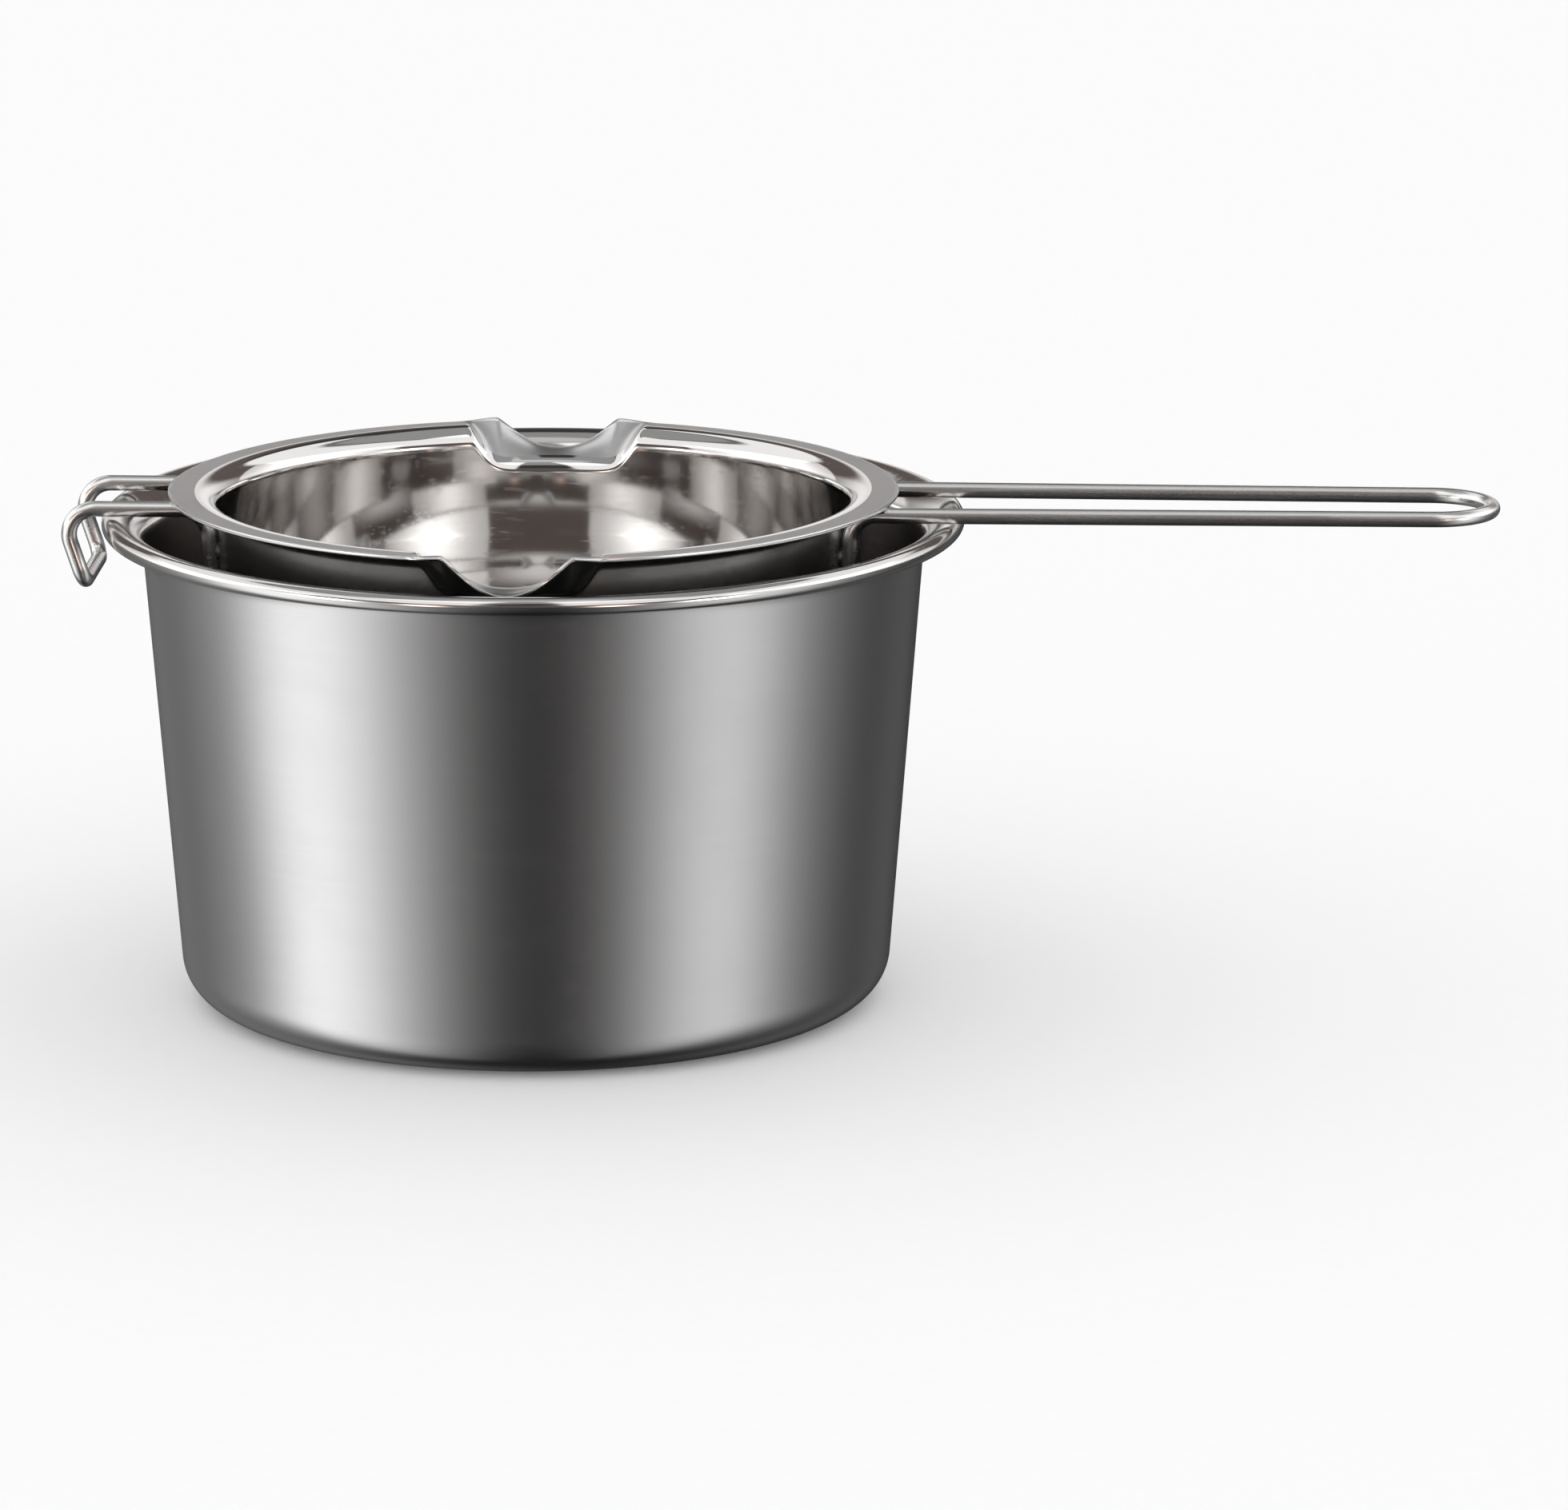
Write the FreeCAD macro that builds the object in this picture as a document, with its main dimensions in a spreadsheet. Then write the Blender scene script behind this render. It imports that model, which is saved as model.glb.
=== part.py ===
"""Double boiler: a pot for water and a pouring bowl that hangs in its mouth.

The pot is one drawn steel shell with a flared, rolled rim. The bowl is one pressed shell with a flat oval
brim and two pouring spouts. A long wire handle and a short wire hook are welded to the bowl's wall under the
brim, and both rest on the pot's rim. The origin is the middle of the pot's base, +Z is up, the handle points
along +X, the hook along -X and the spouts along +Y and -Y. Lengths are millimetres, angles degrees.
"""
import FreeCAD, Part
import math
import os

import Sketcher
from FreeCAD import Placement, Rotation, Vector

# Driving sizes, each one independent of the others
SIZES = {
    "pot_height": 95.0,
    "pot_base_flat_radius": 59.5,
    "pot_corner_radius": 9.0,
    "pot_wall_taper": 4.5,
    "pot_flare_radius": 6.1,
    "pot_bead_radius": 1.7,
    "pot_curl_turn": 240.0,
    "pot_sheet": 0.8,
    "bowl_side_gap": 14.3,
    "bowl_depth": 65.0,
    "bowl_wall_taper": 2.0,
    "bowl_straight_wall": 22.0,
    "bowl_base_inset": 32.5,
    "bowl_base_bend": 26.0,
    "bowl_sheet": 0.8,
    "brim_bend": 3.2,
    "brim_end_width": 9.0,
    "brim_side_width": 6.9,
    "brim_tip_radius": 30.0,
    "brim_trim": 3.0,
    "spout_mouth_width": 36.0,
    "spout_lip_width": 23.0,
    "spout_throat_depth": 6.4,
    "spout_throat_bend": 2.2,
    "spout_lip_depth": 4.3,
    "spout_lip_reach": 2.2,
    "spout_lip_droop": 2.0,
    "spout_shoulder_rise": 0.6,
    "spout_shoulder_run": 8.0,
    "spout_skirt": 3.0,
    "wire_diameter": 3.0,
    "wire_bend": 5.0,
    "wire_gap": 0.15,
    "leg_depth": 21.7,
    "handle_spread": 25.5,
    "handle_convergence": 0.65,
    "handle_reach": 184.6,
    "hook_spread": 25.0,
    "hook_rim_gap": 1.0,
    "hook_bend": 5.0,
    "hook_lean": 18.0,
    "hook_drop": 14.3,
    "hook_corner": 3.0,
    "weld_diameter": 1.6,
    "weld_spacing": 8.0,
    "weld_inset": 3.0,
    "seat_clearance": 0.3,
}

# Sizes that follow from the driving ones
DERIVED = {
    # the pot's outer wall line, carried up to the height of the rim
    "pot_mouth_radius": "=pot_base_flat_radius + (pot_corner_radius"
                        " + (pot_height - pot_corner_radius) * sin(pot_wall_taper)) / cos(pot_wall_taper)",
    "pot_bead_centre": "=pot_mouth_radius + (pot_flare_radius * (1 - sin(pot_wall_taper))"
                       " - pot_sheet * sin(pot_wall_taper)) / cos(pot_wall_taper)",
    "pot_rim_radius": "=pot_bead_centre + pot_bead_radius",
    # the bowl's outer wall line, carried up to the top of the brim
    "bowl_wall_radius": "=pot_mouth_radius - bowl_side_gap",
    "bowl_base_flat_radius": "=bowl_wall_radius - bowl_base_inset",
    "brim_bend_centre": "=bowl_wall_radius + (brim_bend - (bowl_sheet + brim_bend)"
                        " * sin(bowl_wall_taper)) / cos(bowl_wall_taper)",
    "brim_half_length": "=bowl_wall_radius + brim_end_width",
    "brim_half_width": "=bowl_wall_radius + brim_side_width",
    # the oval's long front and back arcs run smoothly into its tip arcs
    "brim_tip_place": "=brim_half_length - brim_tip_radius",
    "brim_tip_inset": "=brim_half_width - brim_tip_radius",
    "brim_side_offset": "=(brim_tip_place^2 - brim_tip_inset^2) / (2 * brim_tip_inset)",
    "brim_side_radius": "=brim_half_width + brim_side_offset",
    "brim_blank_radius": "=max(brim_half_length; brim_half_width) + brim_trim",
    "brim_height": "=pot_height + seat_clearance + wire_diameter + wire_gap + bowl_sheet",
    "spout_mid_radius": "=bowl_wall_radius + brim_side_width / 2",
    "spout_half_width": "=max(spout_mouth_width / 2; spout_lip_width / 2 + spout_shoulder_run)",
    "spout_half_angle": "=spout_half_width / spout_mid_radius * 180 / pi",
    "spout_window": "=spout_throat_depth + bowl_sheet + brim_bend + spout_skirt",
    # the wires run level just under the brim
    "wire_run_depth": "=bowl_sheet + wire_gap + wire_diameter / 2",
}

POINT_MATCH = 1e-5

# Sections from a spout's middle to its shoulder, and how square its mouth and its lip are across the spout
SPOUT_STEPS = 15
MOUTH_SQUARENESS = 8
MOUTH_EASE = 2
LIP_SQUARENESS = 2
LIP_EASE = 1.2
# the outer share of the spout's floor that turns down at the lip
DROOP_SHARE = 0.35

# How a sketch numbers the points of a piece, its own two axes and its origin
START, END, CENTRE = range(1, 4)
H_AXIS, V_AXIS = range(-1, -3, -1)
ORIGIN = (H_AXIS, START)

doc = FreeCAD.newDocument("DoubleBoiler")
sheet = doc.addObject("Spreadsheet::Sheet", "Sizes")
for row, (alias, value) in enumerate({**SIZES, **DERIVED}.items(), start=1):
    sheet.set("A%d" % row, alias)
    sheet.set("B%d" % row, str(value))
    sheet.setAlias("B%d" % row, alias)
doc.recompute()


def size(alias):
    """The value of one cell of the sheet."""
    return float(sheet.get(alias))


def tangent(alias):
    return math.tan(math.radians(size(alias)))


def polar(centre, radius, angle):
    """The point at this angle on a circle in a sketch."""
    turn = math.radians(angle)
    return centre + Vector(math.cos(turn), math.sin(turn), 0) * radius


# Sketching

def origin_feature(body, role):
    return next(feature for feature in body.Origin.OriginFeatures if feature.Role == role)


def new_sketch(body, name, role):
    sketch = body.newObject("Sketcher::SketchObject", name)
    sketch.AttachmentSupport = [(origin_feature(body, role), "")]
    sketch.MapMode = "FlatFace"
    return sketch


def add_line(sketch, start, end):
    return sketch.addGeometry(Part.LineSegment(start, end), False)


def add_arc(sketch, centre, radius, start_angle, end_angle):
    circle = Part.Circle(centre, Vector(0, 0, 1), radius)
    arc = Part.ArcOfCircle(circle, math.radians(start_angle), math.radians(end_angle))
    return sketch.addGeometry(arc, False)


def tie(sketch, *terms):
    """Add one constraint without a size."""
    sketch.addConstraint(Sketcher.Constraint(*terms))


def drive(sketch, name, expression, *terms):
    """Add one constraint whose value follows the sheet."""
    index = sketch.addConstraint(Sketcher.Constraint(*terms))
    sketch.renameConstraint(index, name)
    sketch.setExpression("Constraints." + name, expression)


def join_ends(sketch, first, second, kind):
    """Tie the ends that meet: Tangent where the sheet bends smoothly, Coincident at a corner."""
    for near in (START, END):
        for far in (START, END):
            gap = sketch.getPoint(first, near).distanceToPoint(sketch.getPoint(second, far))
            if gap < POINT_MATCH:
                tie(sketch, kind, first, near, second, far)
                return
    raise ValueError("%s: two neighbours of the outline don't meet" % sketch.Name)


def close_outline(sketch, chain):
    """Join each piece of an outline to the next and the last to the first."""
    followers = chain[1:] + chain[:1]
    for (piece, kind), (follower, _) in zip(chain, followers):
        join_ends(sketch, piece, follower, kind)


def share_centres(sketch, *pairs):
    for first, second in pairs:
        tie(sketch, "Coincident", first, CENTRE, second, CENTRE)


def revolve(body, name, sketch):
    turn = body.newObject("PartDesign::Revolution", name)
    turn.Profile = sketch
    turn.ReferenceAxis = (sketch, ["V_Axis"])
    turn.Angle = 360.0
    return turn


# The pot

def draw_pot_sheet(sketch):
    """The pot's wall in section: base, corner, tapered wall, flare and the curled bead."""
    taper = size("pot_wall_taper")
    thick = size("pot_sheet")
    corner = size("pot_corner_radius")
    flare = size("pot_flare_radius")
    bead = size("pot_bead_radius")
    curl_end_angle = 90 - size("pot_curl_turn")
    corner_centre = Vector(size("pot_base_flat_radius"), corner, 0)
    bead_centre = Vector(size("pot_bead_centre"), size("pot_height") - bead, 0)
    flare_centre = Vector(size("pot_bead_centre"), size("pot_height") - thick - flare, 0)

    base_out = add_line(sketch, Vector(0, 0, 0), Vector(corner_centre.x, 0, 0))
    corner_out = add_arc(sketch, corner_centre, corner, -90, -taper)
    wall_out = add_line(sketch, polar(corner_centre, corner, -taper),
                        polar(flare_centre, flare, 180 - taper))
    flare_under = add_arc(sketch, flare_centre, flare, 90, 180 - taper)
    curl_in = add_arc(sketch, bead_centre, bead - thick, curl_end_angle, 90)
    curl_edge = add_line(sketch, polar(bead_centre, bead - thick, curl_end_angle),
                         polar(bead_centre, bead, curl_end_angle))
    curl_out = add_arc(sketch, bead_centre, bead, curl_end_angle, 90)
    flare_top = add_arc(sketch, flare_centre, flare + thick, 90, 180 - taper)
    wall_in = add_line(sketch, polar(flare_centre, flare + thick, 180 - taper),
                       polar(corner_centre, corner - thick, -taper))
    corner_in = add_arc(sketch, corner_centre, corner - thick, -90, -taper)
    base_in = add_line(sketch, Vector(corner_centre.x, thick, 0), Vector(0, thick, 0))
    axis_line = add_line(sketch, Vector(0, thick, 0), Vector(0, 0, 0))

    close_outline(sketch, [
        (base_out, "Tangent"), (corner_out, "Tangent"), (wall_out, "Tangent"), (flare_under, "Tangent"),
        (curl_in, "Coincident"), (curl_edge, "Coincident"), (curl_out, "Tangent"), (flare_top, "Tangent"),
        (wall_in, "Tangent"), (corner_in, "Tangent"), (base_in, "Coincident"), (axis_line, "Coincident"),
    ])
    share_centres(sketch, (corner_out, corner_in), (flare_under, flare_top), (curl_in, curl_out))
    tie(sketch, "Coincident", base_out, START, *ORIGIN)
    tie(sketch, "Horizontal", base_out)
    tie(sketch, "Horizontal", base_in)
    tie(sketch, "Vertical", axis_line)
    tie(sketch, "Vertical", flare_under, CENTRE, curl_out, CENTRE)
    tie(sketch, "PointOnObject", curl_out, CENTRE, curl_edge)
    drive(sketch, "base_flat", "Sizes.pot_base_flat_radius",
          "DistanceX", *ORIGIN, corner_out, CENTRE, corner_centre.x)
    drive(sketch, "corner", "Sizes.pot_corner_radius", "Radius", corner_out, corner)
    drive(sketch, "wall_angle", "(90 - Sizes.pot_wall_taper) * 1 deg",
          "Angle", wall_out, math.radians(90 - taper))
    drive(sketch, "flare", "Sizes.pot_flare_radius", "Radius", flare_under, flare)
    drive(sketch, "bead", "Sizes.pot_bead_radius", "Radius", curl_out, bead)
    drive(sketch, "bead_inside", "Sizes.pot_bead_radius - Sizes.pot_sheet", "Radius", curl_in, bead - thick)
    drive(sketch, "bead_height", "Sizes.pot_height - Sizes.pot_bead_radius",
          "DistanceY", *ORIGIN, curl_out, CENTRE, bead_centre.y)
    drive(sketch, "curl_angle", "(90 - Sizes.pot_curl_turn) * 1 deg",
          "Angle", curl_edge, math.radians(curl_end_angle))
    drive(sketch, "sheet", "Sizes.pot_sheet", "DistanceY", axis_line, END, axis_line, START, thick)


def make_pot():
    body = doc.addObject("PartDesign::Body", "lower_pot")
    sketch = new_sketch(body, "PotSheet", "XZ_Plane")
    draw_pot_sheet(sketch)
    revolve(body, "PotShell", sketch)
    return body


# The bowl, drawn with the top of its brim at height 0

def draw_bowl_sheet(sketch):
    """The bowl's wall in section, out to the edge of the brim before it is trimmed."""
    taper = size("bowl_wall_taper")
    thick = size("bowl_sheet")
    depth = size("bowl_depth")
    base_bend = size("bowl_base_bend")
    brim_bend = size("brim_bend")
    straight = size("bowl_straight_wall")
    blank = size("brim_blank_radius")
    base_centre = Vector(size("bowl_base_flat_radius"), base_bend - depth, 0)
    brim_centre = Vector(size("brim_bend_centre"), -thick - brim_bend, 0)
    # one arc leaves the straight wall and runs smoothly into the base bend
    outward = polar(Vector(), 1, -taper)
    wall_foot = Vector(size("bowl_wall_radius") - straight * tangent("bowl_wall_taper"), -straight, 0)
    across = wall_foot - base_centre
    wall_bend = (across.dot(across) - base_bend ** 2) / (2 * (across.dot(outward) - base_bend))
    wall_centre = wall_foot - outward * wall_bend
    blend = math.degrees(math.atan2(wall_centre.y - base_centre.y, base_centre.x - wall_centre.x))

    base_out = add_line(sketch, Vector(0, -depth, 0), Vector(base_centre.x, -depth, 0))
    base_bend_out = add_arc(sketch, base_centre, base_bend, -90, -blend)
    wall_bend_out = add_arc(sketch, wall_centre, wall_bend, -blend, -taper)
    wall_out = add_line(sketch, wall_foot, polar(brim_centre, brim_bend, 180 - taper))
    brim_bend_under = add_arc(sketch, brim_centre, brim_bend, 90, 180 - taper)
    brim_under = add_line(sketch, Vector(brim_centre.x, -thick, 0), Vector(blank, -thick, 0))
    brim_edge = add_line(sketch, Vector(blank, -thick, 0), Vector(blank, 0, 0))
    brim_top = add_line(sketch, Vector(blank, 0, 0), Vector(brim_centre.x, 0, 0))
    brim_bend_top = add_arc(sketch, brim_centre, brim_bend + thick, 90, 180 - taper)
    wall_in = add_line(sketch, polar(brim_centre, brim_bend + thick, 180 - taper),
                       wall_foot - outward * thick)
    wall_bend_in = add_arc(sketch, wall_centre, wall_bend - thick, -blend, -taper)
    base_bend_in = add_arc(sketch, base_centre, base_bend - thick, -90, -blend)
    base_in = add_line(sketch, Vector(base_centre.x, thick - depth, 0), Vector(0, thick - depth, 0))
    axis_line = add_line(sketch, Vector(0, thick - depth, 0), Vector(0, -depth, 0))

    close_outline(sketch, [
        (base_out, "Tangent"), (base_bend_out, "Tangent"), (wall_bend_out, "Tangent"), (wall_out, "Tangent"),
        (brim_bend_under, "Tangent"), (brim_under, "Coincident"), (brim_edge, "Coincident"),
        (brim_top, "Tangent"), (brim_bend_top, "Tangent"), (wall_in, "Tangent"), (wall_bend_in, "Tangent"),
        (base_bend_in, "Tangent"), (base_in, "Coincident"), (axis_line, "Coincident"),
    ])
    share_centres(sketch, (base_bend_out, base_bend_in), (wall_bend_out, wall_bend_in),
                  (brim_bend_under, brim_bend_top))
    tie(sketch, "PointOnObject", base_out, START, V_AXIS)
    tie(sketch, "PointOnObject", brim_top, END, H_AXIS)
    tie(sketch, "Vertical", axis_line)
    tie(sketch, "Vertical", brim_edge)
    tie(sketch, "Parallel", wall_out, wall_in)
    for level in (base_out, brim_under, brim_top, base_in):
        tie(sketch, "Horizontal", level)
    drive(sketch, "depth", "Sizes.bowl_depth", "DistanceY", base_out, START, *ORIGIN, depth)
    drive(sketch, "base_flat", "Sizes.bowl_base_flat_radius",
          "DistanceX", *ORIGIN, base_bend_out, CENTRE, base_centre.x)
    drive(sketch, "base_bend", "Sizes.bowl_base_bend", "Radius", base_bend_out, base_bend)
    drive(sketch, "straight_wall", "Sizes.bowl_straight_wall",
          "DistanceY", wall_out, START, *ORIGIN, straight)
    drive(sketch, "wall_angle", "(90 - Sizes.bowl_wall_taper) * 1 deg",
          "Angle", wall_out, math.radians(90 - taper))
    drive(sketch, "brim_bend", "Sizes.brim_bend", "Radius", brim_bend_under, brim_bend)
    drive(sketch, "brim_bend_place", "Sizes.brim_bend_centre",
          "DistanceX", *ORIGIN, brim_bend_under, CENTRE, brim_centre.x)
    drive(sketch, "sheet", "Sizes.bowl_sheet", "DistanceY", brim_edge, START, brim_edge, END, thick)
    drive(sketch, "blank", "Sizes.brim_blank_radius", "DistanceX", *ORIGIN, brim_edge, END, blank)


def draw_brim_outline(sketch):
    """What is cut off behind the oval brim: the back half of the oval inside a larger half circle."""
    tip = size("brim_tip_radius")
    tip_place = size("brim_tip_place")
    stock = size("brim_blank_radius") + size("brim_trim")
    side_radius = size("brim_side_radius")
    offset = size("brim_side_offset")
    meet = math.degrees(math.atan2(offset, tip_place))
    right_end = Vector(tip_place + tip, 0, 0)
    right_tip = add_arc(sketch, Vector(tip_place, 0, 0), tip, 0, meet)
    back = add_arc(sketch, Vector(0, -offset, 0), side_radius, meet, 180 - meet)
    left_tip = add_arc(sketch, Vector(-tip_place, 0, 0), tip, 180 - meet, 180)
    left_step = add_line(sketch, -right_end, Vector(-stock, 0, 0))
    around = add_arc(sketch, Vector(), stock, 0, 180)
    right_step = add_line(sketch, Vector(stock, 0, 0), right_end)
    close_outline(sketch, [
        (right_tip, "Tangent"), (back, "Tangent"), (left_tip, "Coincident"), (left_step, "Coincident"),
        (around, "Coincident"), (right_step, "Coincident"),
    ])
    for tip_arc in (right_tip, left_tip):
        tie(sketch, "PointOnObject", tip_arc, CENTRE, H_AXIS)
    for step in (left_step, right_step):
        tie(sketch, "Horizontal", step)
        tie(sketch, "PointOnObject", step, END, H_AXIS)
    tie(sketch, "PointOnObject", back, CENTRE, V_AXIS)
    tie(sketch, "Coincident", around, CENTRE, *ORIGIN)
    tie(sketch, "Equal", right_tip, left_tip)
    drive(sketch, "tip", "Sizes.brim_tip_radius", "Radius", right_tip, tip)
    drive(sketch, "tip_place", "Sizes.brim_tip_place", "DistanceX", *ORIGIN, right_tip, CENTRE, tip_place)
    drive(sketch, "side_radius", "Sizes.brim_side_radius", "Radius", back, side_radius)
    drive(sketch, "stock", "Sizes.brim_blank_radius + Sizes.brim_trim", "Radius", around, stock)


def draw_spout_window(sketch):
    """The stretch of wall and brim that a spout replaces, as a rectangle to turn about the axis."""
    inner = size("bowl_base_flat_radius")
    outer = size("brim_blank_radius") + size("brim_trim")
    floor = -size("spout_window")
    top = size("brim_trim")
    bottom = add_line(sketch, Vector(inner, floor, 0), Vector(outer, floor, 0))
    far = add_line(sketch, Vector(outer, floor, 0), Vector(outer, top, 0))
    lid = add_line(sketch, Vector(outer, top, 0), Vector(inner, top, 0))
    near = add_line(sketch, Vector(inner, top, 0), Vector(inner, floor, 0))
    close_outline(sketch, [(side, "Coincident") for side in (bottom, far, lid, near)])
    for level in (bottom, lid):
        tie(sketch, "Horizontal", level)
    for upright in (far, near):
        tie(sketch, "Vertical", upright)
    drive(sketch, "floor", "Sizes.spout_window", "DistanceY", bottom, START, *ORIGIN, -floor)
    drive(sketch, "lid", "Sizes.brim_trim", "DistanceY", *ORIGIN, lid, START, top)
    drive(sketch, "near", "Sizes.bowl_base_flat_radius", "DistanceX", *ORIGIN, near, START, inner)
    drive(sketch, "far", "Sizes.brim_blank_radius + Sizes.brim_trim",
          "DistanceX", *ORIGIN, far, START, outer)


def make_bowl_blank():
    """The bowl's shell with its trimmed brim, open where the two spouts go."""
    body = doc.addObject("PartDesign::Body", "BowlBlank")
    body.setExpression("Placement.Base.z", "Sizes.brim_height")
    sheet_sketch = new_sketch(body, "BowlSheet", "XZ_Plane")
    draw_bowl_sheet(sheet_sketch)
    revolve(body, "BowlShell", sheet_sketch)
    doc.recompute()

    outline = new_sketch(body, "BrimOutline", "XY_Plane")
    draw_brim_outline(outline)
    trim = body.newObject("PartDesign::Pocket", "BrimTrim")
    trim.Profile = outline
    trim.setExpression("Length", "2 * Sizes.bowl_sheet")
    both = body.newObject("PartDesign::Mirrored", "BrimTrims")
    both.Originals = [trim]
    both.MirrorPlane = (origin_feature(body, "XZ_Plane"), [""])
    body.Tip = both
    doc.recompute()

    opening = new_sketch(body, "SpoutWindow", "YZ_Plane")
    draw_spout_window(opening)
    window = body.newObject("PartDesign::Groove", "SpoutCut")
    window.Profile = opening
    window.ReferenceAxis = (opening, ["V_Axis"])
    window.Midplane = True
    window.setExpression("Angle", "2 * Sizes.spout_half_angle")
    doc.recompute()

    pair = body.newObject("PartDesign::PolarPattern", "SpoutCuts")
    pair.Originals = [window]
    pair.Axis = (origin_feature(body, "Z_Axis"), [""])
    pair.Angle = 360.0
    pair.Occurrences = 2
    body.Tip = pair
    doc.recompute()
    return body


def pressed_share(side, width, squareness, ease):
    """Share of a spout's depth at this distance beside its middle: 1 there, 0 from the half width on."""
    part = min(1.0, abs(side) / (size(width) / 2))
    return (1 - part ** squareness) ** ease


def mouth_share(side):
    """The wide mouth of the spout at the wall, with steep sides and a nearly straight floor."""
    return pressed_share(side, "spout_mouth_width", MOUTH_SQUARENESS, MOUTH_EASE)


def lip_share(side):
    """The narrower lip of the spout, one even round hollow."""
    return pressed_share(side, "spout_lip_width", LIP_SQUARENESS, LIP_EASE)


def lip_drop(side):
    """How far the lip lies under the brim; the shoulders beside it rise a little."""
    rise = size("spout_shoulder_rise")
    past = (abs(side) - size("spout_lip_width") / 2) / size("spout_shoulder_run")
    if past < 0:
        return (size("spout_lip_depth") + rise) * lip_share(side) - rise
    return -rise * (1 + math.cos(math.pi * min(1.0, past))) / 2


def lip_radius(side, angle):
    """The brim's own edge at this angle, and the lip's reach past it."""
    side_radius = size("brim_side_radius")
    offset = size("brim_side_offset")
    edge = math.sqrt(side_radius ** 2 - (offset * math.sin(angle)) ** 2) - offset * math.cos(angle)
    return edge + size("spout_lip_reach") * lip_share(side) ** 2


def spout_section(side):
    """The sheet in section on one plane through the axis: floor with its lip, bend and top of the wall."""
    angle = side / size("spout_mid_radius")
    taper = size("bowl_wall_taper")
    thick = size("bowl_sheet")
    share = mouth_share(side)
    bend = size("brim_bend") + (size("spout_throat_bend") - size("brim_bend")) * share
    height = -size("spout_throat_depth") * share - thick - bend
    wall = size("bowl_wall_radius") + height * tangent("bowl_wall_taper")
    centre = Vector(wall + bend / math.cos(math.radians(taper)), height, 0)
    window = -size("spout_window")
    wall_foot = size("bowl_wall_radius") + window * tangent("bowl_wall_taper")
    wall_thick = thick / math.cos(math.radians(taper))
    # the floor leaves the bend on the straight line to the lip, and its outer part droops
    lip = Vector(lip_radius(side, angle), -lip_drop(side), 0)
    across = lip - centre
    slope = math.degrees(math.acos((bend + thick) / across.Length) - math.atan2(across.x, across.y))
    along = polar(Vector(), 1, slope)
    run = across.dot(along)
    droop = size("spout_lip_droop") * lip_share(side)
    lip_turn = math.degrees(math.atan2(droop, run * DROOP_SHARE))

    def place(point):
        return Vector(point.x * math.sin(angle), point.x * math.cos(angle), point.y)

    def bend_arc(radius):
        ends = (90 + slope, 180 - taper)
        marks = [polar(centre, radius, turn) for turn in (ends[0], sum(ends) / 2, ends[1])]
        return Part.Arc(*[place(mark) for mark in marks]).toShape()

    def floor_poles(depth):
        """Poles of the floor's curve from bend to lip, this deep into the sheet from its upper face."""
        start = polar(centre, bend + thick - depth, 90 + slope)
        mitre = depth / math.cos(math.radians(lip_turn / 2))
        knee = polar(lip - along * (run * DROOP_SHARE), -mitre, 90 + slope - lip_turn / 2)
        end = polar(polar(lip, -droop, 90 + slope), -depth, 90 + slope - lip_turn)
        return [start, start + along * (run / 2), knee, end]

    def floor_curve(poles):
        curve = Part.BezierCurve()
        curve.setPoles([place(pole) for pole in poles])
        return curve.toShape()

    def straight(first, second):
        return Part.LineSegment(place(first), place(second)).toShape()

    top = floor_poles(0)
    under = floor_poles(thick)
    foot_out = Vector(wall_foot, window, 0)
    foot_in = Vector(wall_foot - wall_thick, window, 0)
    return Part.Wire([
        floor_curve(top), straight(top[-1], under[-1]), floor_curve(under[::-1]), bend_arc(bend),
        straight(polar(centre, bend, 180 - taper), foot_out), straight(foot_out, foot_in),
        straight(foot_in, polar(centre, bend + thick, 180 - taper)), bend_arc(bend + thick),
    ])


def make_spout(name, turn):
    """One pressed spout, lofted through sections from shoulder to shoulder."""
    step = size("spout_half_width") / SPOUT_STEPS
    sections = [spout_section(step * number) for number in range(-SPOUT_STEPS, SPOUT_STEPS + 1)]
    spout = doc.addObject("Part::Feature", name)
    spout.Shape = Part.makeLoft(sections, True, False)
    spout.Placement = Placement(Vector(0, 0, size("brim_height")), Rotation(Vector(0, 0, 1), turn))
    return spout


def make_bowl():
    blank = make_bowl_blank()
    spouts = [make_spout("BackSpout", 0), make_spout("FrontSpout", 180)]
    bowl = doc.addObject("Part::MultiFuse", "upper_bowl")
    bowl.Shapes = [blank] + spouts
    bowl.Refine = True
    doc.recompute()
    return bowl


# The wires, bent on the bowl and drawn from the top of its brim like the bowl

def bent_path(start, bends):
    """Edges from a start through bends, each a centre, a radius and the two directions it turns between."""
    edges = []
    here = start
    for centre, radius, leaving, arriving in bends:
        first = centre + leaving * radius
        last = centre + arriving * radius
        middle = centre + (leaving + arriving).normalize() * radius
        edges.append(Part.LineSegment(here, first).toShape())
        edges.append(Part.Arc(first, middle, last).toShape())
        here = last
    return edges, here


def mirrored_wire(edges):
    """A whole wire from the half on the +Y side."""
    twins = [edge.mirror(Vector(), Vector(0, 1, 0)) for edge in edges]
    return Part.Wire(Part.__sortEdges__(edges + twins))


def leg_ends(spread):
    """Foot and head of a leg that lies along the tapered wall, each as distance out and height."""
    wire = size("wire_diameter") / 2
    stand_off = (wire + size("wire_gap")) / math.cos(math.radians(size("bowl_wall_taper")))
    ends = []
    for height in (-size("leg_depth"), -size("wire_run_depth") - size("wire_bend")):
        radius = size("bowl_wall_radius") + height * tangent("bowl_wall_taper") + stand_off
        ends.append((math.sqrt(radius ** 2 - (spread / 2) ** 2), height))
    return ends


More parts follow.
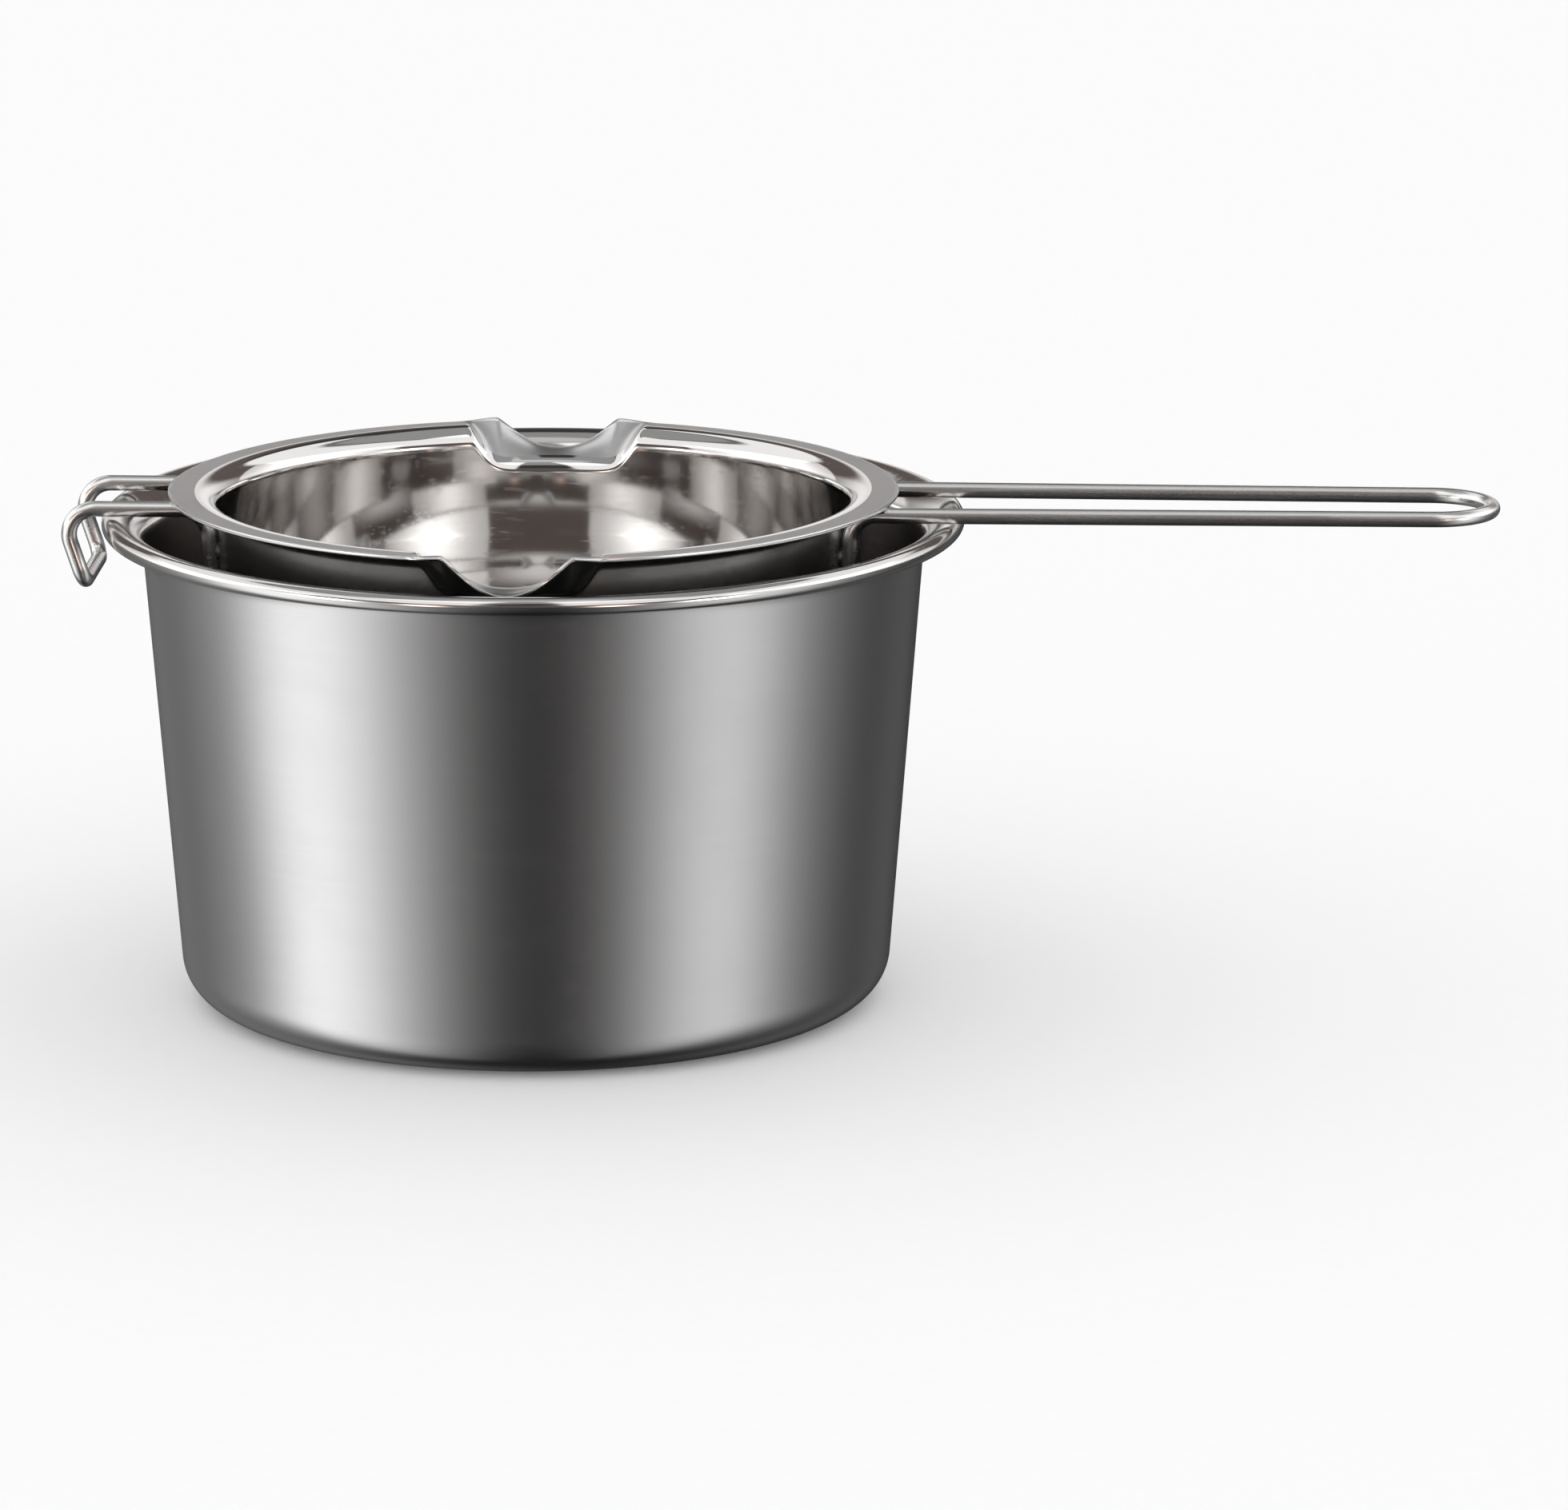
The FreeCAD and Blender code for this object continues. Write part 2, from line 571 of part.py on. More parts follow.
def leg_and_bend(spread, ahead):
    """Start of a wire's half on the +Y side: the leg's foot, and the bend from the leg to the level run."""
    (foot_out, foot_height), (head_out, head_height) = leg_ends(spread)
    bend = size("wire_bend")
    up = Vector(0, 0, 1)
    lean = math.atan2(head_out - foot_out, head_height - foot_height)
    rise = ahead * math.sin(lean) + up * math.cos(lean)
    toward = ahead * math.cos(lean) - up * math.sin(lean)
    head = Vector(math.copysign(head_out, ahead.x), spread / 2, head_height)
    foot = head - rise * ((head_height - foot_height) / math.cos(lean))
    centre = head + rise * (bend * math.tan(lean)) + toward * bend
    return foot, (centre, bend, -toward, up)


def handle_path():
    """The long handle: two legs, two bends, two runs that close in a little and a round end."""
    spread = size("handle_spread")
    turn = math.radians(size("handle_convergence"))
    ahead = Vector(math.cos(turn), -math.sin(turn), 0)
    foot, bend = leg_and_bend(spread, ahead)
    bend_centre, bend_radius, _, bend_top = bend
    run_start = bend_centre + bend_top * bend_radius
    tip = size("handle_reach") - size("wire_diameter") / 2
    outward = Vector(math.sin(turn), math.cos(turn), 0)
    level = Vector(0, 0, run_start.z)
    end_radius = (run_start.dot(outward) - tip * outward.x) / (1 - outward.x)
    end_centre = Vector(tip - end_radius, 0, 0) + level
    edges, _ = bent_path(foot, [bend, (end_centre, end_radius, outward, Vector(1, 0, 0))])
    return mirrored_wire(edges)


def hook_path():
    """The rim hook: two legs, two bends, level arms over the rim, drops that lean back and a closing bar."""
    spread = size("hook_spread")
    lean = math.radians(size("hook_lean"))
    radius = size("hook_bend")
    corner = size("hook_corner")
    level = -size("wire_run_depth")
    foot, bend = leg_and_bend(spread, Vector(-1, 0, 0))
    bar_out = size("pot_rim_radius") + size("hook_rim_gap") + size("wire_diameter") / 2
    bar = Vector(-bar_out, 0, level - size("hook_drop"))
    down = Vector(math.sin(lean), 0, -math.cos(lean))
    away = Vector(-math.cos(lean), 0, -math.sin(lean))
    # the bend's centre lies one bend radius inside the drop's line and one below the arms
    depth = (level - radius) - (bar - away * radius).z
    centre = bar - away * radius - down * (depth / math.cos(lean)) + Vector(0, spread / 2, 0)
    sideways = Vector(0, 1, 0)
    corner_centre = bar - down * corner + sideways * (spread / 2 - corner)
    bends = [
        bend,
        (centre, radius, Vector(0, 0, 1), away),
        (corner_centre, corner, sideways, down),
    ]
    edges, here = bent_path(foot, bends)
    edges.append(Part.LineSegment(here, Vector(here.x, 0, here.z)).toShape())
    return mirrored_wire(edges)


def make_wire(label, path_shape):
    """A round wire swept along its bent path."""
    path = doc.addObject("Part::Feature", label + "_path")
    path.Shape = path_shape
    path.Placement = Placement(Vector(0, 0, size("brim_height")), Rotation())
    first = path.Shape.OrderedEdges[0]
    start = path.Shape.OrderedVertexes[0].Point
    along = first.tangentAt(first.FirstParameter)
    section = doc.addObject("Part::Circle", label + "_section")
    section.setExpression("Radius", "Sizes.wire_diameter / 2")
    section.Placement = Placement(start, Rotation(Vector(0, 0, 1), along))
    wire = doc.addObject("Part::Sweep", label)
    wire.Sections = [section]
    wire.Spine = (path, ["Edge%d" % (number + 1) for number in range(len(path.Shape.Edges))])
    wire.Solid = True
    doc.recompute()
    return wire


# The welds

def make_welds(label, spread, way, bowl, wire):
    """Weld spots that bridge the narrow gap between the wall and each leg, two to a leg."""
    spots = []
    (foot_out, foot_height), (head_out, head_height) = leg_ends(spread)
    for side in (1, -1):
        for number in (0, 1):
            height = foot_height + size("weld_inset") + number * size("weld_spacing")
            share = (height - foot_height) / (head_height - foot_height)
            out = foot_out + (head_out - foot_out) * share
            leg = Vector(way * out, side * spread / 2, 0)
            outward = Vector(leg).normalize()
            start = leg - outward * (size("wire_diameter") / 2 + size("wire_gap") + size("bowl_sheet") / 2)
            spot = doc.addObject("Part::Cylinder", label + "_spot")
            spot.setExpression("Radius", "Sizes.weld_diameter / 2")
            spot.setExpression("Height", "(Sizes.wire_diameter + Sizes.bowl_sheet) / 2 + Sizes.wire_gap")
            place = start + Vector(0, 0, height + size("brim_height"))
            spot.Placement = Placement(place, Rotation(Vector(0, 0, 1), outward))
            spots.append(spot)
    group = doc.addObject("Part::MultiFuse", label + "_spots")
    group.Shapes = spots
    seat = doc.addObject("Part::Cut", label + "_on_wall")
    seat.Base = group
    seat.Tool = bowl
    welds = doc.addObject("Part::Cut", label)
    welds.Base = seat
    welds.Tool = wire
    doc.recompute()
    return welds


def check_document():
    """Stop before anything is written if a feature failed or a shape is broken."""
    for item in doc.Objects:
        if "Invalid" in item.State or "Error" in item.State:
            raise RuntimeError("%s failed: %s" % (item.Label, item.State))


def write_part(part):
    shape = part.Shape
    if shape.isNull() or not shape.isValid() or not shape.Solids:
        raise RuntimeError("%s has no sound solid" % part.Label)
    shape.exportStep("parts/%s.step" % part.Label)
    print("%-14s solids %d  volume %.1f mm3" % (part.Label, len(shape.Solids), shape.Volume))


pot = make_pot()
bowl = make_bowl()
handle = make_wire("long_handle", handle_path())
hook = make_wire("rim_hook", hook_path())
handle_welds = make_welds("handle_welds", size("handle_spread"), 1, bowl, handle)
hook_welds = make_welds("hook_welds", size("hook_spread"), -1, bowl, hook)
doc.recompute()
check_document()
os.makedirs("parts", exist_ok=True)
for part in (pot, bowl, handle, hook, handle_welds, hook_welds):
    write_part(part)
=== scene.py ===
"""Looks of a double boiler: a turned steel pot, a pressed pouring bowl, two bent wires and their weld spots.

Everything is in metres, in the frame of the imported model. The origin is the middle of the pot's base, +Z is up,
the long handle points along +X, the rim hook along -X and the two pouring spouts along +Y and -Y.
"""
import math

import bmesh
import bpy
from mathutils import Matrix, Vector


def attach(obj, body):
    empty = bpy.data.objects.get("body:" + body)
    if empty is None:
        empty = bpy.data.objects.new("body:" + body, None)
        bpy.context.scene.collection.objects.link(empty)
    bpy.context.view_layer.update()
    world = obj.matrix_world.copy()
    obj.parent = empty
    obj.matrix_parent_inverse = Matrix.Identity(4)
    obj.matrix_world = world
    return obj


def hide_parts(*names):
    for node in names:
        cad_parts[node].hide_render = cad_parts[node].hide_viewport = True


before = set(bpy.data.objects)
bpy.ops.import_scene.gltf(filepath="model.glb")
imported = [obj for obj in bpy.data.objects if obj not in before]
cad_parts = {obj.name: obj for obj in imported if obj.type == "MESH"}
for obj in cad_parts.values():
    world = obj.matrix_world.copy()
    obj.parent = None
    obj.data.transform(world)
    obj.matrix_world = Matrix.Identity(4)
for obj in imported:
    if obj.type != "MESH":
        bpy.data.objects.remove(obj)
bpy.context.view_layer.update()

MM = 0.001

# Pot: one drawn sheet with a tapered wall, a flare and a curled bead
POT_HEIGHT = 95 * MM
POT_BASE_FLAT = 59.5 * MM
POT_CORNER = 9 * MM
POT_TAPER = math.radians(4.5)
POT_FLARE = 6.1 * MM
POT_BEAD = 1.7 * MM
POT_CURL = math.radians(240)
POT_SHEET = 0.8 * MM
CURL_BENDS = 3
POT_MOUTH = POT_BASE_FLAT + (POT_CORNER + (POT_HEIGHT - POT_CORNER) * math.sin(POT_TAPER)) / math.cos(POT_TAPER)
BEAD_CENTRE = POT_MOUTH + (
    POT_FLARE * (1 - math.sin(POT_TAPER)) - POT_SHEET * math.sin(POT_TAPER)) / math.cos(POT_TAPER)

# Bowl: one pressed sheet with an oval brim and two spouts; heights are counted down from the brim's top
BOWL_WALL = POT_MOUTH - 14.3 * MM
BOWL_DEPTH = 65 * MM
BOWL_TAPER = math.radians(2)
BOWL_STRAIGHT = 22 * MM
BOWL_BASE_FLAT = BOWL_WALL - 32.5 * MM
BOWL_BASE_BEND = 26 * MM
BOWL_SHEET = 0.8 * MM
BRIM_BEND = 3.2 * MM
BRIM_END = BOWL_WALL + 9 * MM
BRIM_SIDE = BOWL_WALL + 6.9 * MM
BRIM_TIP = 30 * MM
BRIM_EDGE = 0.22 * MM
SPOUT_MOUTH = 36 * MM / 2
SPOUT_LIP = 23 * MM / 2
SPOUT_THROAT_DEPTH = 6.4 * MM
SPOUT_THROAT = 2.2 * MM
SPOUT_LIP_DEPTH = 4.3 * MM
SPOUT_REACH = 2.2 * MM
SPOUT_DROOP = 2 * MM
SPOUT_RISE = 0.6 * MM
SPOUT_RUN = 8 * MM
SPOUT_MIDDLE = (BOWL_WALL + BRIM_SIDE) / 2
DROOP_SHARE = 0.35
MOUTH_SQUARENESS, MOUTH_EASE = 8, 2
LIP_SQUARENESS, LIP_EASE = 2, 1.2

# Wires and their welds
WIRE = 3 * MM
WIRE_BEND = 5 * MM
WIRE_GAP = 0.15 * MM
WIRE_END = 0.35 * MM
SHARP_EDGE = math.radians(60)
LEG_DEPTH = 21.7 * MM
HANDLE_SPREAD = 25.5 * MM
HANDLE_CLOSING = math.radians(0.65)
HANDLE_REACH = 184.6 * MM
LOOP_FIT = 0.999
HOOK_SPREAD = 25 * MM
HOOK_BAR = BEAD_CENTRE + POT_BEAD + 1 * MM + WIRE / 2
HOOK_BEND = 5 * MM
HOOK_LEAN = math.radians(18)
HOOK_DROP = 14.3 * MM
HOOK_CORNER = 3 * MM
WELD_INSET = 3 * MM
WELD_SPACING = 8 * MM
WELD_WIDTH = 2.2 * MM
WELD_HEIGHT = 2.8 * MM
WELD_THICKNESS = 0.9 * MM
BRIM_HEIGHT = POT_HEIGHT + 0.3 * MM + WIRE + WIRE_GAP + BOWL_SHEET
RUN_HEIGHT = BRIM_HEIGHT - BOWL_SHEET - WIRE_GAP - WIRE / 2

# How finely things are made
TURN_STEPS = 360
BOWL_STEPS = 640
BEND_STEPS = 18
BASE_BEND_STEPS = 20
WALL_BEND_STEPS = 14
BRIM_BEND_STEPS = 14
BRIM_STEPS = 12
EDGE_STEPS = 5
WIRE_STEPS = 40
WIRE_END_STEPS = 3
WELD_STEPS = 24
WELD_RINGS = 14
FLOOR_RINGS = (0, 0.35, 0.7)
RING_RADIUS = 0.1 * MM
SUPPORT = 0.5 * MM
MERGE = 0.002 * MM


# Node trees

def add_node(tree, kind, inputs=None, **settings):
    """A node with its settings, and its inputs set or linked."""
    made = tree.nodes.new(kind)
    for name, value in settings.items():
        setattr(made, name, value)
    for name, value in (inputs or {}).items():
        if isinstance(value, bpy.types.NodeSocket):
            tree.links.new(value, made.inputs[name])
        else:
            made.inputs[name].default_value = value
    return made


def new_tree(name, kind, inputs, outputs):
    """A node tree with named sockets, and its input and output nodes."""
    tree = bpy.data.node_groups.new(name, kind)
    for label, socket in inputs.items():
        tree.interface.new_socket(label, in_out="INPUT", socket_type=socket)
    for label, socket in outputs.items():
        tree.interface.new_socket(label, in_out="OUTPUT", socket_type=socket)
    return tree, tree.nodes.new("NodeGroupInput").outputs, tree.nodes.new("NodeGroupOutput").inputs


def calc(tree, operation, first, second=0.0, third=0.0):
    """The result of one Math node."""
    return add_node(tree, "ShaderNodeMath", {0: first, 1: second, 2: third}, operation=operation).outputs[0]


def ramp(tree, value, low, high, bottom=0.0, top=1.0, blend="SMOOTHSTEP"):
    """A value carried from one range to another, smoothly unless told otherwise."""
    made = add_node(tree, "ShaderNodeMapRange", {
        "Value": value, "From Min": low, "From Max": high, "To Min": bottom, "To Max": top},
        interpolation_type=blend)
    return made.outputs["Result"]


# Shapes made by Geometry Nodes

def corner_line(name, corners):
    """An object that is only a line through corners, each a place, a bend radius and a finish number."""
    mesh = bpy.data.meshes.new(name)
    mesh.from_pydata([place for place, _, _ in corners], [(i, i + 1) for i in range(len(corners) - 1)], [])
    bend = mesh.attributes.new("bend", "FLOAT", "POINT")
    bend.data.foreach_set("value", [radius for _, radius, _ in corners])
    finish = mesh.attributes.new("finish", "FLOAT", "POINT")
    finish.data.foreach_set("value", [number for _, _, number in corners])
    piece = bpy.data.objects.new(name, mesh)
    bpy.context.scene.collection.objects.link(piece)
    return piece


def with_supports(corners):
    """The same line with points just past each bend, so that a straight run keeps its own even shading."""
    trims = [0.0] * len(corners)
    for i in range(1, len(corners) - 1):
        before, here, after = (corners[i + step][0] for step in (-1, 0, 1))
        turn = (here - before).angle(after - here)
        trims[i] = corners[i][1] * math.tan(turn / 2)
    result = [corners[0]]
    for i in range(1, len(corners)):
        start, end = corners[i - 1][0], corners[i][0]
        along = (end - start).normalized()
        near = trims[i - 1] + SUPPORT
        far = trims[i] + SUPPORT
        if (end - start).length > near + far + SUPPORT:
            result.append((start + along * near, 0.0, corners[i - 1][2] if trims[i - 1] else corners[i][2]))
            result.append((end - along * far, 0.0, result[-1][2]))
        result.append(corners[i])
    return result


def rounded_curve(tree, sockets):
    """The corner line as a curve with an arc at each bend."""
    curve = add_node(tree, "GeometryNodeMeshToCurve", {"Mesh": sockets["Geometry"]})
    bend = add_node(tree, "GeometryNodeInputNamedAttribute", {"Name": "bend"}, data_type="FLOAT")
    fillet = add_node(tree, "GeometryNodeFilletCurve", mode="POLY")
    tree.links.new(curve.outputs["Curve"], fillet.inputs["Curve"])
    tree.links.new(bend.outputs["Attribute"], fillet.inputs["Radius"])
    tree.links.new(sockets["Bend steps"], fillet.inputs["Count"])
    return fillet.outputs["Curve"]


def turned_sheet_tree():
    """A sheet's section, drawn in the XZ plane, turned once about the Z axis."""
    tree, given, result = new_tree("turned_sheet", "GeometryNodeTree", {
        "Geometry": "NodeSocketGeometry", "Bend steps": "NodeSocketInt", "Turn steps": "NodeSocketInt",
        "Ring radius": "NodeSocketFloat", "Outside": "NodeSocketMaterial", "Inside": "NodeSocketMaterial",
        "Rim": "NodeSocketMaterial"}, {"Geometry": "NodeSocketGeometry"})
    section = rounded_curve(tree, given)
    place = add_node(tree, "ShaderNodeSeparateXYZ", {0: add_node(tree, "GeometryNodeInputPosition").outputs[0]})
    flat = add_node(tree, "ShaderNodeCombineXYZ", {
        "X": calc(tree, "SUBTRACT", place.outputs["X"], given["Ring radius"]),
        "Y": calc(tree, "MULTIPLY", place.outputs["Z"], -1.0)})
    section = add_node(tree, "GeometryNodeSetPosition", {"Geometry": section, "Position": flat.outputs[0]})
    ring = add_node(tree, "GeometryNodeCurvePrimitiveCircle", {
        "Resolution": given["Turn steps"], "Radius": given["Ring radius"]})
    upright = add_node(tree, "GeometryNodeSetCurveNormal", {"Curve": ring.outputs["Curve"]}, mode="Z_UP")
    shell = add_node(tree, "GeometryNodeCurveToMesh", {
        "Curve": upright.outputs[0], "Profile Curve": section.outputs[0]})
    whole = add_node(tree, "GeometryNodeMergeByDistance", {"Geometry": shell.outputs[0], "Distance": MERGE})
    made = add_node(tree, "GeometryNodeRealizeInstances", {"Geometry": whole.outputs[0]}).outputs[0]
    finish = add_node(tree, "GeometryNodeInputNamedAttribute", {"Name": "finish"}, data_type="FLOAT")
    for label, least in (("Outside", -1.0), ("Inside", 0.5), ("Rim", 1.5)):
        chosen = add_node(tree, "FunctionNodeCompare", {0: finish.outputs["Attribute"], 1: least},
                          data_type="FLOAT", operation="GREATER_THAN")
        made = add_node(tree, "GeometryNodeSetMaterial", {
            "Geometry": made, "Selection": chosen.outputs[0], "Material": given[label]}).outputs[0]
    tree.links.new(made, result["Geometry"])
    return tree


def bent_wire_tree():
    """A round wire along a line with bends."""
    tree, given, result = new_tree("bent_wire", "GeometryNodeTree", {
        "Geometry": "NodeSocketGeometry", "Bend steps": "NodeSocketInt", "Wire diameter": "NodeSocketFloat",
        "Round steps": "NodeSocketInt", "Material": "NodeSocketMaterial"}, {"Geometry": "NodeSocketGeometry"})
    ring = add_node(tree, "GeometryNodeCurvePrimitiveCircle", {
        "Resolution": given["Round steps"], "Radius": calc(tree, "DIVIDE", given["Wire diameter"], 2.0)})
    place = add_node(tree, "GeometryNodeInputPosition").outputs["Position"]
    across = add_node(tree, "GeometryNodeStoreNamedAttribute", {
        "Geometry": ring.outputs["Curve"], "Name": "across", "Value": place}, data_type="FLOAT_VECTOR")
    length = add_node(tree, "GeometryNodeSplineParameter").outputs["Length"]
    along = add_node(tree, "GeometryNodeStoreNamedAttribute", {
        "Geometry": rounded_curve(tree, given), "Name": "along", "Value": length}, data_type="FLOAT")
    wire = add_node(tree, "GeometryNodeCurveToMesh", {
        "Curve": along.outputs[0], "Profile Curve": across.outputs[0], "Fill Caps": True})
    whole = add_node(tree, "GeometryNodeMergeByDistance", {"Geometry": wire.outputs[0], "Distance": MERGE})
    made = add_node(tree, "GeometryNodeRealizeInstances", {"Geometry": whole.outputs[0]})
    done = add_node(tree, "GeometryNodeSetMaterial", {
        "Geometry": made.outputs[0], "Material": given["Material"]})
    tree.links.new(done.outputs[0], result["Geometry"])
    return tree


def weld_spots_tree():
    """A flattened bead of weld metal at each point, facing along the point's own direction."""
    tree, given, result = new_tree("weld_spots", "GeometryNodeTree", {
        "Geometry": "NodeSocketGeometry", "Spot width": "NodeSocketFloat", "Spot height": "NodeSocketFloat",
        "Spot depth": "NodeSocketFloat", "Material": "NodeSocketMaterial"}, {"Geometry": "NodeSocketGeometry"})
    ball = add_node(tree, "GeometryNodeMeshUVSphere", {
        "Segments": WELD_STEPS, "Rings": WELD_RINGS, "Radius": 0.5})
    facing = add_node(tree, "GeometryNodeInputNamedAttribute", {"Name": "facing"}, data_type="FLOAT_VECTOR")
    turn = add_node(tree, "FunctionNodeAlignRotationToVector", {
        "Vector": facing.outputs["Attribute"]}, axis="X")
    scale = add_node(tree, "ShaderNodeCombineXYZ", {
        "X": given["Spot depth"], "Y": given["Spot width"], "Z": given["Spot height"]})
    spots = add_node(tree, "GeometryNodeInstanceOnPoints", {
        "Points": given["Geometry"], "Instance": ball.outputs["Mesh"],
        "Rotation": turn.outputs["Rotation"], "Scale": scale.outputs[0]})
    made = add_node(tree, "GeometryNodeRealizeInstances", {"Geometry": spots.outputs[0]})
    done = add_node(tree, "GeometryNodeSetMaterial", {
        "Geometry": made.outputs[0], "Material": given["Material"]})
    tree.links.new(done.outputs[0], result["Geometry"])
    return tree


def shape_by(piece, tree, values):
    """Put a tree on a piece and set its named inputs."""
    modifier = piece.modifiers.new(tree.name, "NODES")
    modifier.node_group = tree
    for item in tree.interface.items_tree:
        if item.in_out == "INPUT" and item.name in values:
            modifier[item.identifier] = values[item.name]


def make_plain(piece):
    """Turn what the modifiers make into the piece's own mesh, closed, with its faces outwards and smooth."""
    bpy.context.view_layer.update()
    graph = bpy.context.evaluated_depsgraph_get()
    mesh = bpy.data.meshes.new_from_object(piece.evaluated_get(graph))
    piece.modifiers.clear()
    piece.data = mesh
    close_mesh(mesh)
    return piece


def close_mesh(mesh):
    """Merge the points that meet, turn the faces outwards and shade them smooth."""
    work = bmesh.new()
    work.from_mesh(mesh)
    bmesh.ops.remove_doubles(work, verts=work.verts, dist=MERGE)
    bmesh.ops.dissolve_degenerate(work, edges=work.edges, dist=MERGE / 10)
    bmesh.ops.recalc_face_normals(work, faces=work.faces)
    work.to_mesh(mesh)
    work.free()
    mesh.shade_smooth()


# Materials

HAIRLINE_TURNS = ((0.3, 0.5, 0.2), (1.1, 2.0, 0.9), (2.2, 0.8, 1.7))
HAIRLINE_STRETCH = (0.03, 1.0, 1.0)
HAIRLINE_FADE = 0.04


def turned_grain_group():
    """Fine lines that run round the Z axis, as left by polishing on a lathe."""
    tree, given, result = new_tree("turned_grain", "ShaderNodeTree", {
        "Vector": "NodeSocketVector", "Pitch": "NodeSocketFloat", "Breaks": "NodeSocketFloat"},
        {"Lines": "NodeSocketFloat", "Bands": "NodeSocketFloat"})
    parts = add_node(tree, "ShaderNodeSeparateXYZ", {0: given["Vector"]})
    level = add_node(tree, "ShaderNodeCombineXYZ", {"X": parts.outputs["X"], "Y": parts.outputs["Y"]})
    radius = add_node(tree, "ShaderNodeVectorMath", {0: level.outputs[0]}, operation="LENGTH").outputs["Value"]
    way = add_node(tree, "ShaderNodeVectorMath", {0: level.outputs[0]}, operation="NORMALIZE").outputs["Vector"]
    round_way = add_node(tree, "ShaderNodeVectorMath", {0: way, "Scale": given["Breaks"]}, operation="SCALE")
    across = add_node(tree, "ShaderNodeSeparateXYZ", {0: round_way.outputs["Vector"]})
    for label, widen, detail in (("Lines", 1.0, 4.0), ("Bands", 9.0, 2.0)):
        along = calc(tree, "DIVIDE", calc(tree, "ADD", radius, parts.outputs["Z"]),
                     calc(tree, "MULTIPLY", given["Pitch"], widen))
        spot = add_node(tree, "ShaderNodeCombineXYZ", {
            "X": across.outputs["X"], "Y": across.outputs["Y"], "Z": along})
        noise = add_node(tree, "ShaderNodeTexNoise", {
            "Vector": spot.outputs[0], "Scale": 1.0, "Detail": detail, "Roughness": 0.6})
        tree.links.new(noise.outputs[0], result[label])
    return tree


def drawn_grain_group():
    """Fine lines along a wire, as the die leaves them that it is drawn through."""
    tree, given, result = new_tree("drawn_grain", "ShaderNodeTree", {
        "Across": "NodeSocketVector", "Along": "NodeSocketFloat", "Pitch": "NodeSocketFloat",
        "Stretch": "NodeSocketFloat"}, {"Lines": "NodeSocketFloat", "Bands": "NodeSocketFloat"})
    flat = add_node(tree, "ShaderNodeSeparateXYZ", {0: given["Across"]})
    slow = calc(tree, "DIVIDE", given["Along"], given["Stretch"])
    spot = add_node(tree, "ShaderNodeCombineXYZ", {"X": flat.outputs["X"], "Y": flat.outputs["Y"], "Z": slow})
    for label, widen, detail in (("Lines", 1.0, 3.0), ("Bands", 6.0, 1.0)):
        scale = calc(tree, "DIVIDE", 1.0 / widen, given["Pitch"])
        noise = add_node(tree, "ShaderNodeTexNoise", {
            "Vector": spot.outputs[0], "Scale": scale, "Detail": detail, "Roughness": 0.6})
        tree.links.new(noise.outputs[0], result[label])
    return tree


def hairlines_group():
    """Thin scratches in a few directions, as washing and stacking leave them."""
    tree, given, result = new_tree("hairlines", "ShaderNodeTree", {
        "Vector": "NodeSocketVector", "Scale": "NodeSocketFloat", "Rarity": "NodeSocketFloat"},
        {"Lines": "NodeSocketFloat"})
    total = None
    for turn in HAIRLINE_TURNS:
        turned = add_node(tree, "ShaderNodeMapping", {
            "Vector": given["Vector"], "Rotation": turn, "Scale": HAIRLINE_STRETCH})
        noise = add_node(tree, "ShaderNodeTexNoise", {
            "Vector": turned.outputs[0], "Scale": given["Scale"], "Detail": 1.0})
        line = ramp(tree, noise.outputs[0], given["Rarity"], calc(tree, "ADD", given["Rarity"], HAIRLINE_FADE))
        total = line if total is None else calc(tree, "MAXIMUM", total, line)
    tree.links.new(total, result["Lines"])
    return tree


def handling_group():
    """Faint patches where hands and cloths have been."""
    tree, given, result = new_tree("handling", "ShaderNodeTree", {
        "Vector": "NodeSocketVector", "Scale": "NodeSocketFloat"}, {"Patches": "NodeSocketFloat"})
    noise = add_node(tree, "ShaderNodeTexNoise", {
        "Vector": given["Vector"], "Scale": given["Scale"], "Detail": 5.0, "Roughness": 0.55,
        "Distortion": 0.4})
    tree.links.new(ramp(tree, noise.outputs[0], 0.4, 0.72), result["Patches"])
    return tree


# How the marks share a surface: lines and wider bands in the grain, scratches, and patches from handling
LINE_SHARE, BAND_SHARE = 0.65, 0.35
WIRE_STRETCH = 60.0
SCRATCHES = {"Scale": 900.0, "Rarity": 0.66}
SCRATCH_DEPTH = 0.3
PATCHES = {"Scale": 34.0}
DULL_TINT = 0.86
GRAIN_TINT, PATCH_TINT = 0.5, 0.25
LEAST_ROUGH = 0.02

TURNED = turned_grain_group()
DRAWN = drawn_grain_group()
HAIRLINES = hairlines_group()
HANDLING = handling_group()


def turned_lines(tree, place, pitch, breaks):
    """The lines of a turned surface, at the object's own coordinates."""
    lines = add_node(tree, "ShaderNodeGroup", node_tree=TURNED)
    tree.links.new(place, lines.inputs["Vector"])
    lines.inputs["Pitch"].default_value = pitch
    lines.inputs["Breaks"].default_value = breaks
    return lines


def drawn_lines(tree, pitch):
    """The lines of a drawn wire, at the places that its mesh carries."""
    lines = add_node(tree, "ShaderNodeGroup", node_tree=DRAWN)
    across = add_node(tree, "ShaderNodeAttribute", attribute_name="across")
    along = add_node(tree, "ShaderNodeAttribute", attribute_name="along")
    tree.links.new(across.outputs["Vector"], lines.inputs["Across"])
    tree.links.new(along.outputs["Fac"], lines.inputs["Along"])
    lines.inputs["Pitch"].default_value = pitch
    lines.inputs["Stretch"].default_value = WIRE_STRETCH
    return lines


